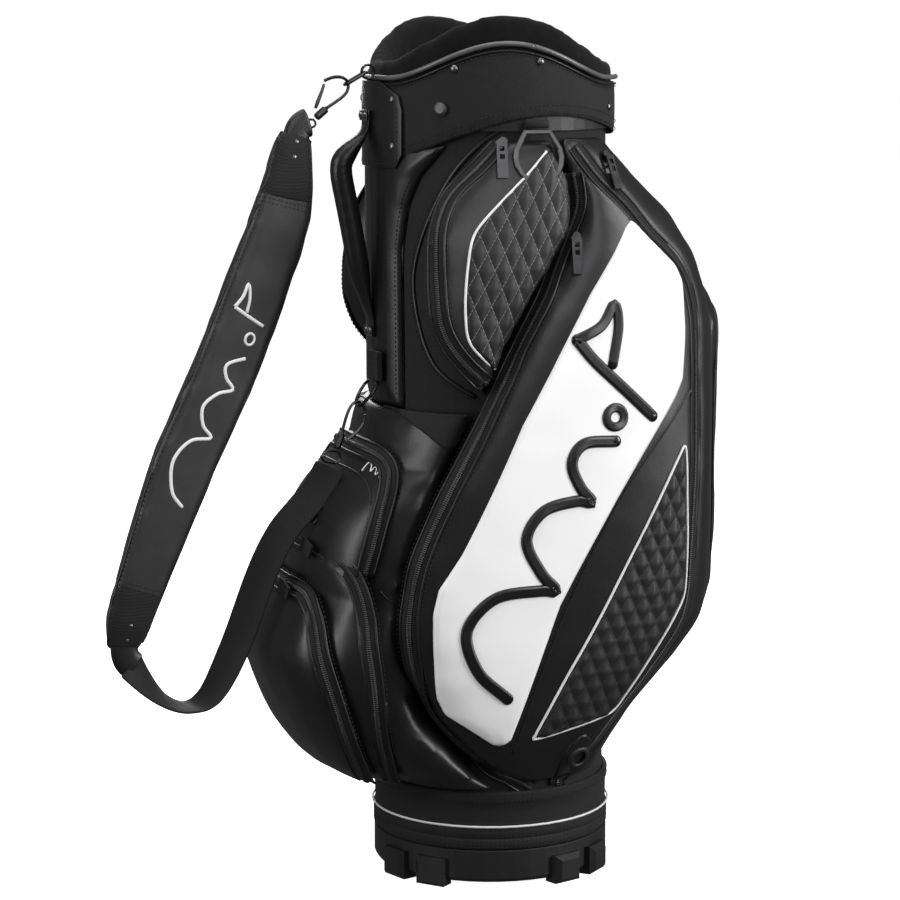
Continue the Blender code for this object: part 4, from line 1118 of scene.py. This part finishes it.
# ---- Shoulder strap
# A padded leather strap on two snap hooks: nylon ends, a leather middle with a white mark, and
# a length of webbing with a ladder buckle that runs back up to the lower hook.
STRAP_FOOT = Vector((0.0210, -0.1425, 0.0))
STRAP_TURN = math.radians(10.0)
STRAP_OUT = Vector((math.sin(STRAP_TURN), -math.cos(STRAP_TURN), 0))
STRAP_SIDE = Vector((math.cos(STRAP_TURN), math.sin(STRAP_TURN), 0))
PAD_ROUTE = ((0.0780, 0.7845), (0.0840, 0.7600), (0.0950, 0.7030), (0.1240, 0.6310), (0.1660, 0.5360),
             (0.2110, 0.4480), (0.2530, 0.3460), (0.2710, 0.2970), (0.2770, 0.2670))
PAD_WIDTHS = (0.033, 0.050, 0.072, 0.077, 0.078, 0.077, 0.063, 0.054, 0.032)
pad_tree = outside_of(SOFT["strap_pad"])


def on_pad(out, height, face=1):
    start = STRAP_FOOT + STRAP_OUT * out + Vector((0, 0, height)) + STRAP_SIDE * 0.2 * face
    place, normal, _face, _far = pad_tree.ray_cast(start, STRAP_SIDE * -face, 0.4)
    return (place, normal) if place else None


pad_middle = rounded(PAD_ROUTE, False, 10)


def pad_spot(down, across, face=1):
    """A place on the pad: how far down its route, from 0 to 8, and how far across, from -1 to 1."""
    at = min(max(down, 0.0), len(PAD_ROUTE) - 1.001) * 10
    low = int(at)
    middle = pad_middle[low].lerp(pad_middle[low + 1], at - low)
    way = pad_middle[min(low + 3, len(pad_middle) - 1)] - pad_middle[max(low - 3, 0)]
    width = float(numpy.interp(down, range(len(PAD_WIDTHS)), PAD_WIDTHS))
    for inward in (1.0, 0.96, 0.92, 0.88, 0.84, 0.80, 0.76, 0.70):
        flat = middle + Vector((-way.y, way.x)).normalized() * across * inward * width / 2
        hit = on_pad(flat.x, flat.y, face)
        if hit:
            break
    return hit


def along_pad(share_pairs, face=1, gap=STITCH_PITCH, lift=0.0003, closed=False):
    hits = [pad_spot(*pair, face) for pair in rounded(share_pairs, closed, 8)]
    hits = [hit for hit in hits if hit]
    if closed:
        hits.append(hits[0])
    return [(place + normal * lift, normal) for place, normal in even_spacing(hits, gap)]


EDGE_ROW, BINDING_ROW = 0.78, 0.89
pad_rows = []
for face in (1, -1):
    for across in (-EDGE_ROW, EDGE_ROW):
        pad_rows.append(along_pad([(d, across) for d in (0.4, 1, 2, 3, 4, 5, 6, 7, 7.6)], face))
    for down in (1.85, 1.92, 6.15, 6.22):
        pad_rows.append(along_pad([(down, a) for a in (-EDGE_ROW, -0.3, 0.3, EDGE_ROW)], face))
stitches("strap_stitches", pad_rows, BLACK_THREAD, "strap")
DOWN_PAD, BINDING_RADIUS = (0.5, 1, 2, 3, 4, 5, 6, 7, 7.5), 0.0017
binding = joined(*(
    strip(along_pad([(d, across) for d in DOWN_PAD], face, 0.004, -0.0002), round_bead(BINDING_RADIUS))
    for face in (1, -1) for across in (-BINDING_ROW, BINDING_ROW)))
settle("strap_binding", binding, BLACK_LEATHER, body="strap")
WEBBING = nylon("strap_webbing_nylon", (0.003, 0.003, 0.0032), (0.013, 0.0127, 0.013), 0.0017)
CLOTH_ENDS = {"top": (0.15, 1.83), "bottom": (6.17, 7.8)}
CLOTH_HALF, CLOTH_THICK = 0.93, 0.0008
for end, (first, last) in CLOTH_ENDS.items():
    for face, side_name in ((1, "front"), (-1, "back")):
        made = bmesh.new()
        bmesh.ops.create_grid(made, x_segments=16, y_segments=24, size=1.0)
        lost = []
        for vertex in made.verts:
            share = (vertex.co.y + 1) / 2
            hit = pad_spot(first + (last - first) * share, vertex.co.x * CLOTH_HALF, face)
            if not hit:
                lost.append(vertex)
                continue
            place, normal = hit
            near = min(1.0, (1 - abs(vertex.co.x)) * 8, share * 12, (1 - share) * 12)
            vertex.co = place + normal * (0.0009 * near - 0.0002)
        bmesh.ops.delete(made, geom=lost, context="VERTS")
        bmesh.ops.solidify(made, geom=list(made.faces), thickness=CLOTH_THICK)
        bmesh.ops.recalc_face_normals(made, faces=made.faces)
        settle(f"strap_{end}_end_{side_name}", made, WEBBING, body="strap")

TAB_ENDS = {"top": ((0.0640, 0.7925), (0.0705, 0.7900), (0.0765, 0.7850), (0.0800, 0.7740),
                    (0.0835, 0.7600)),
            "bottom": ((0.2735, 0.2960), (0.2755, 0.2780), (0.2745, 0.2660), (0.2700, 0.2580),
                       (0.2640, 0.2530))}
for end, route in TAB_ENDS.items():
    line = even_spacing([(STRAP_FOOT + STRAP_OUT * out + Vector((0, 0, height)), STRAP_SIDE)
                         for out, height in rounded(route)], 0.003)
    finer(settle(f"strap_{end}_tab", strip(line, flat_tape(0.0320, 0.0075)), BLACK_LEATHER, body="strap"))

finer(settle("strap_webbing_flat", welded_copy("strap_webbing"), WEBBING, "strap_webbing", body="strap"), 2)
rivets("strap_rivets", [pad_spot(down, 0.0) for down in (0.55, 1.05, 7.0, 7.45)], 0.0026, "strap")

WHITE_EMBROIDERY = thread_material("white_embroidery", (0.55, 0.55, 0.56), "piping")


def pad_stroke(pairs, width, closed=False):
    line = along_pad(pairs, 1, 0.0025, 0.0, closed)
    w = width / 2
    return strip(line, [(-w, -0.0004), (-w * 0.6, 0.0009), (0.0, 0.0012), (w * 0.6, 0.0009), (w, -0.0004)],
                 closed)


PAD_STROKE = 0.0042
PAD_MARK_FOOT = 5.30
PAD_HOPS = ((0.0, -0.30), (0.10, 0.15), (0.35, 0.42), (0.60, 0.20), (0.72, -0.30), (0.80, 0.05), (0.98, 0.28),
            (1.16, 0.05), (1.26, -0.30), (1.34, 0.0), (1.46, 0.12), (1.58, -0.30))
PAD_POLE = ((1.92, -0.45), (1.95, 0.0), (1.99, 0.50))
PAD_FLAG = ((1.99, 0.50), (2.12, 0.38), (2.26, 0.36), (2.12, 0.18), (1.98, 0.12))
pad_mark = joined(*(pad_stroke([(PAD_MARK_FOOT - d, a) for d, a in line], PAD_STROKE)
                    for line in (PAD_HOPS, PAD_POLE, PAD_FLAG)),
                  pad_stroke([(PAD_MARK_FOOT - 1.76 + 0.055 * math.cos(t), -0.22 + 0.13 * math.sin(t))
                              for t in EIGHTHS], PAD_STROKE * 0.8, True))
bmesh.ops.recalc_face_normals(pad_mark, faces=pad_mark.faces)
settle("strap_mark", pad_mark, WHITE_EMBROIDERY, body="strap")


# ---- Small mark on the valuables pocket
# The same hops again in white thread, on the cap of the pouch.
POUCH_HOPS = ((-68.5, 0.4385), (-67.6, 0.4455), (-65.9, 0.4480), (-64.5, 0.4430), (-64.0, 0.4385),
              (-63.2, 0.4435), (-61.9, 0.4440), (-61.1, 0.4365), (-60.3, 0.4400), (-59.4, 0.4400),
              (-58.9, 0.4350))
settle("pouch_mark", strip(laid(pouch_tree, POUCH_HOPS, 0.0002, 0.001), round_bead(0.0008)), WHITE_EMBROIDERY)
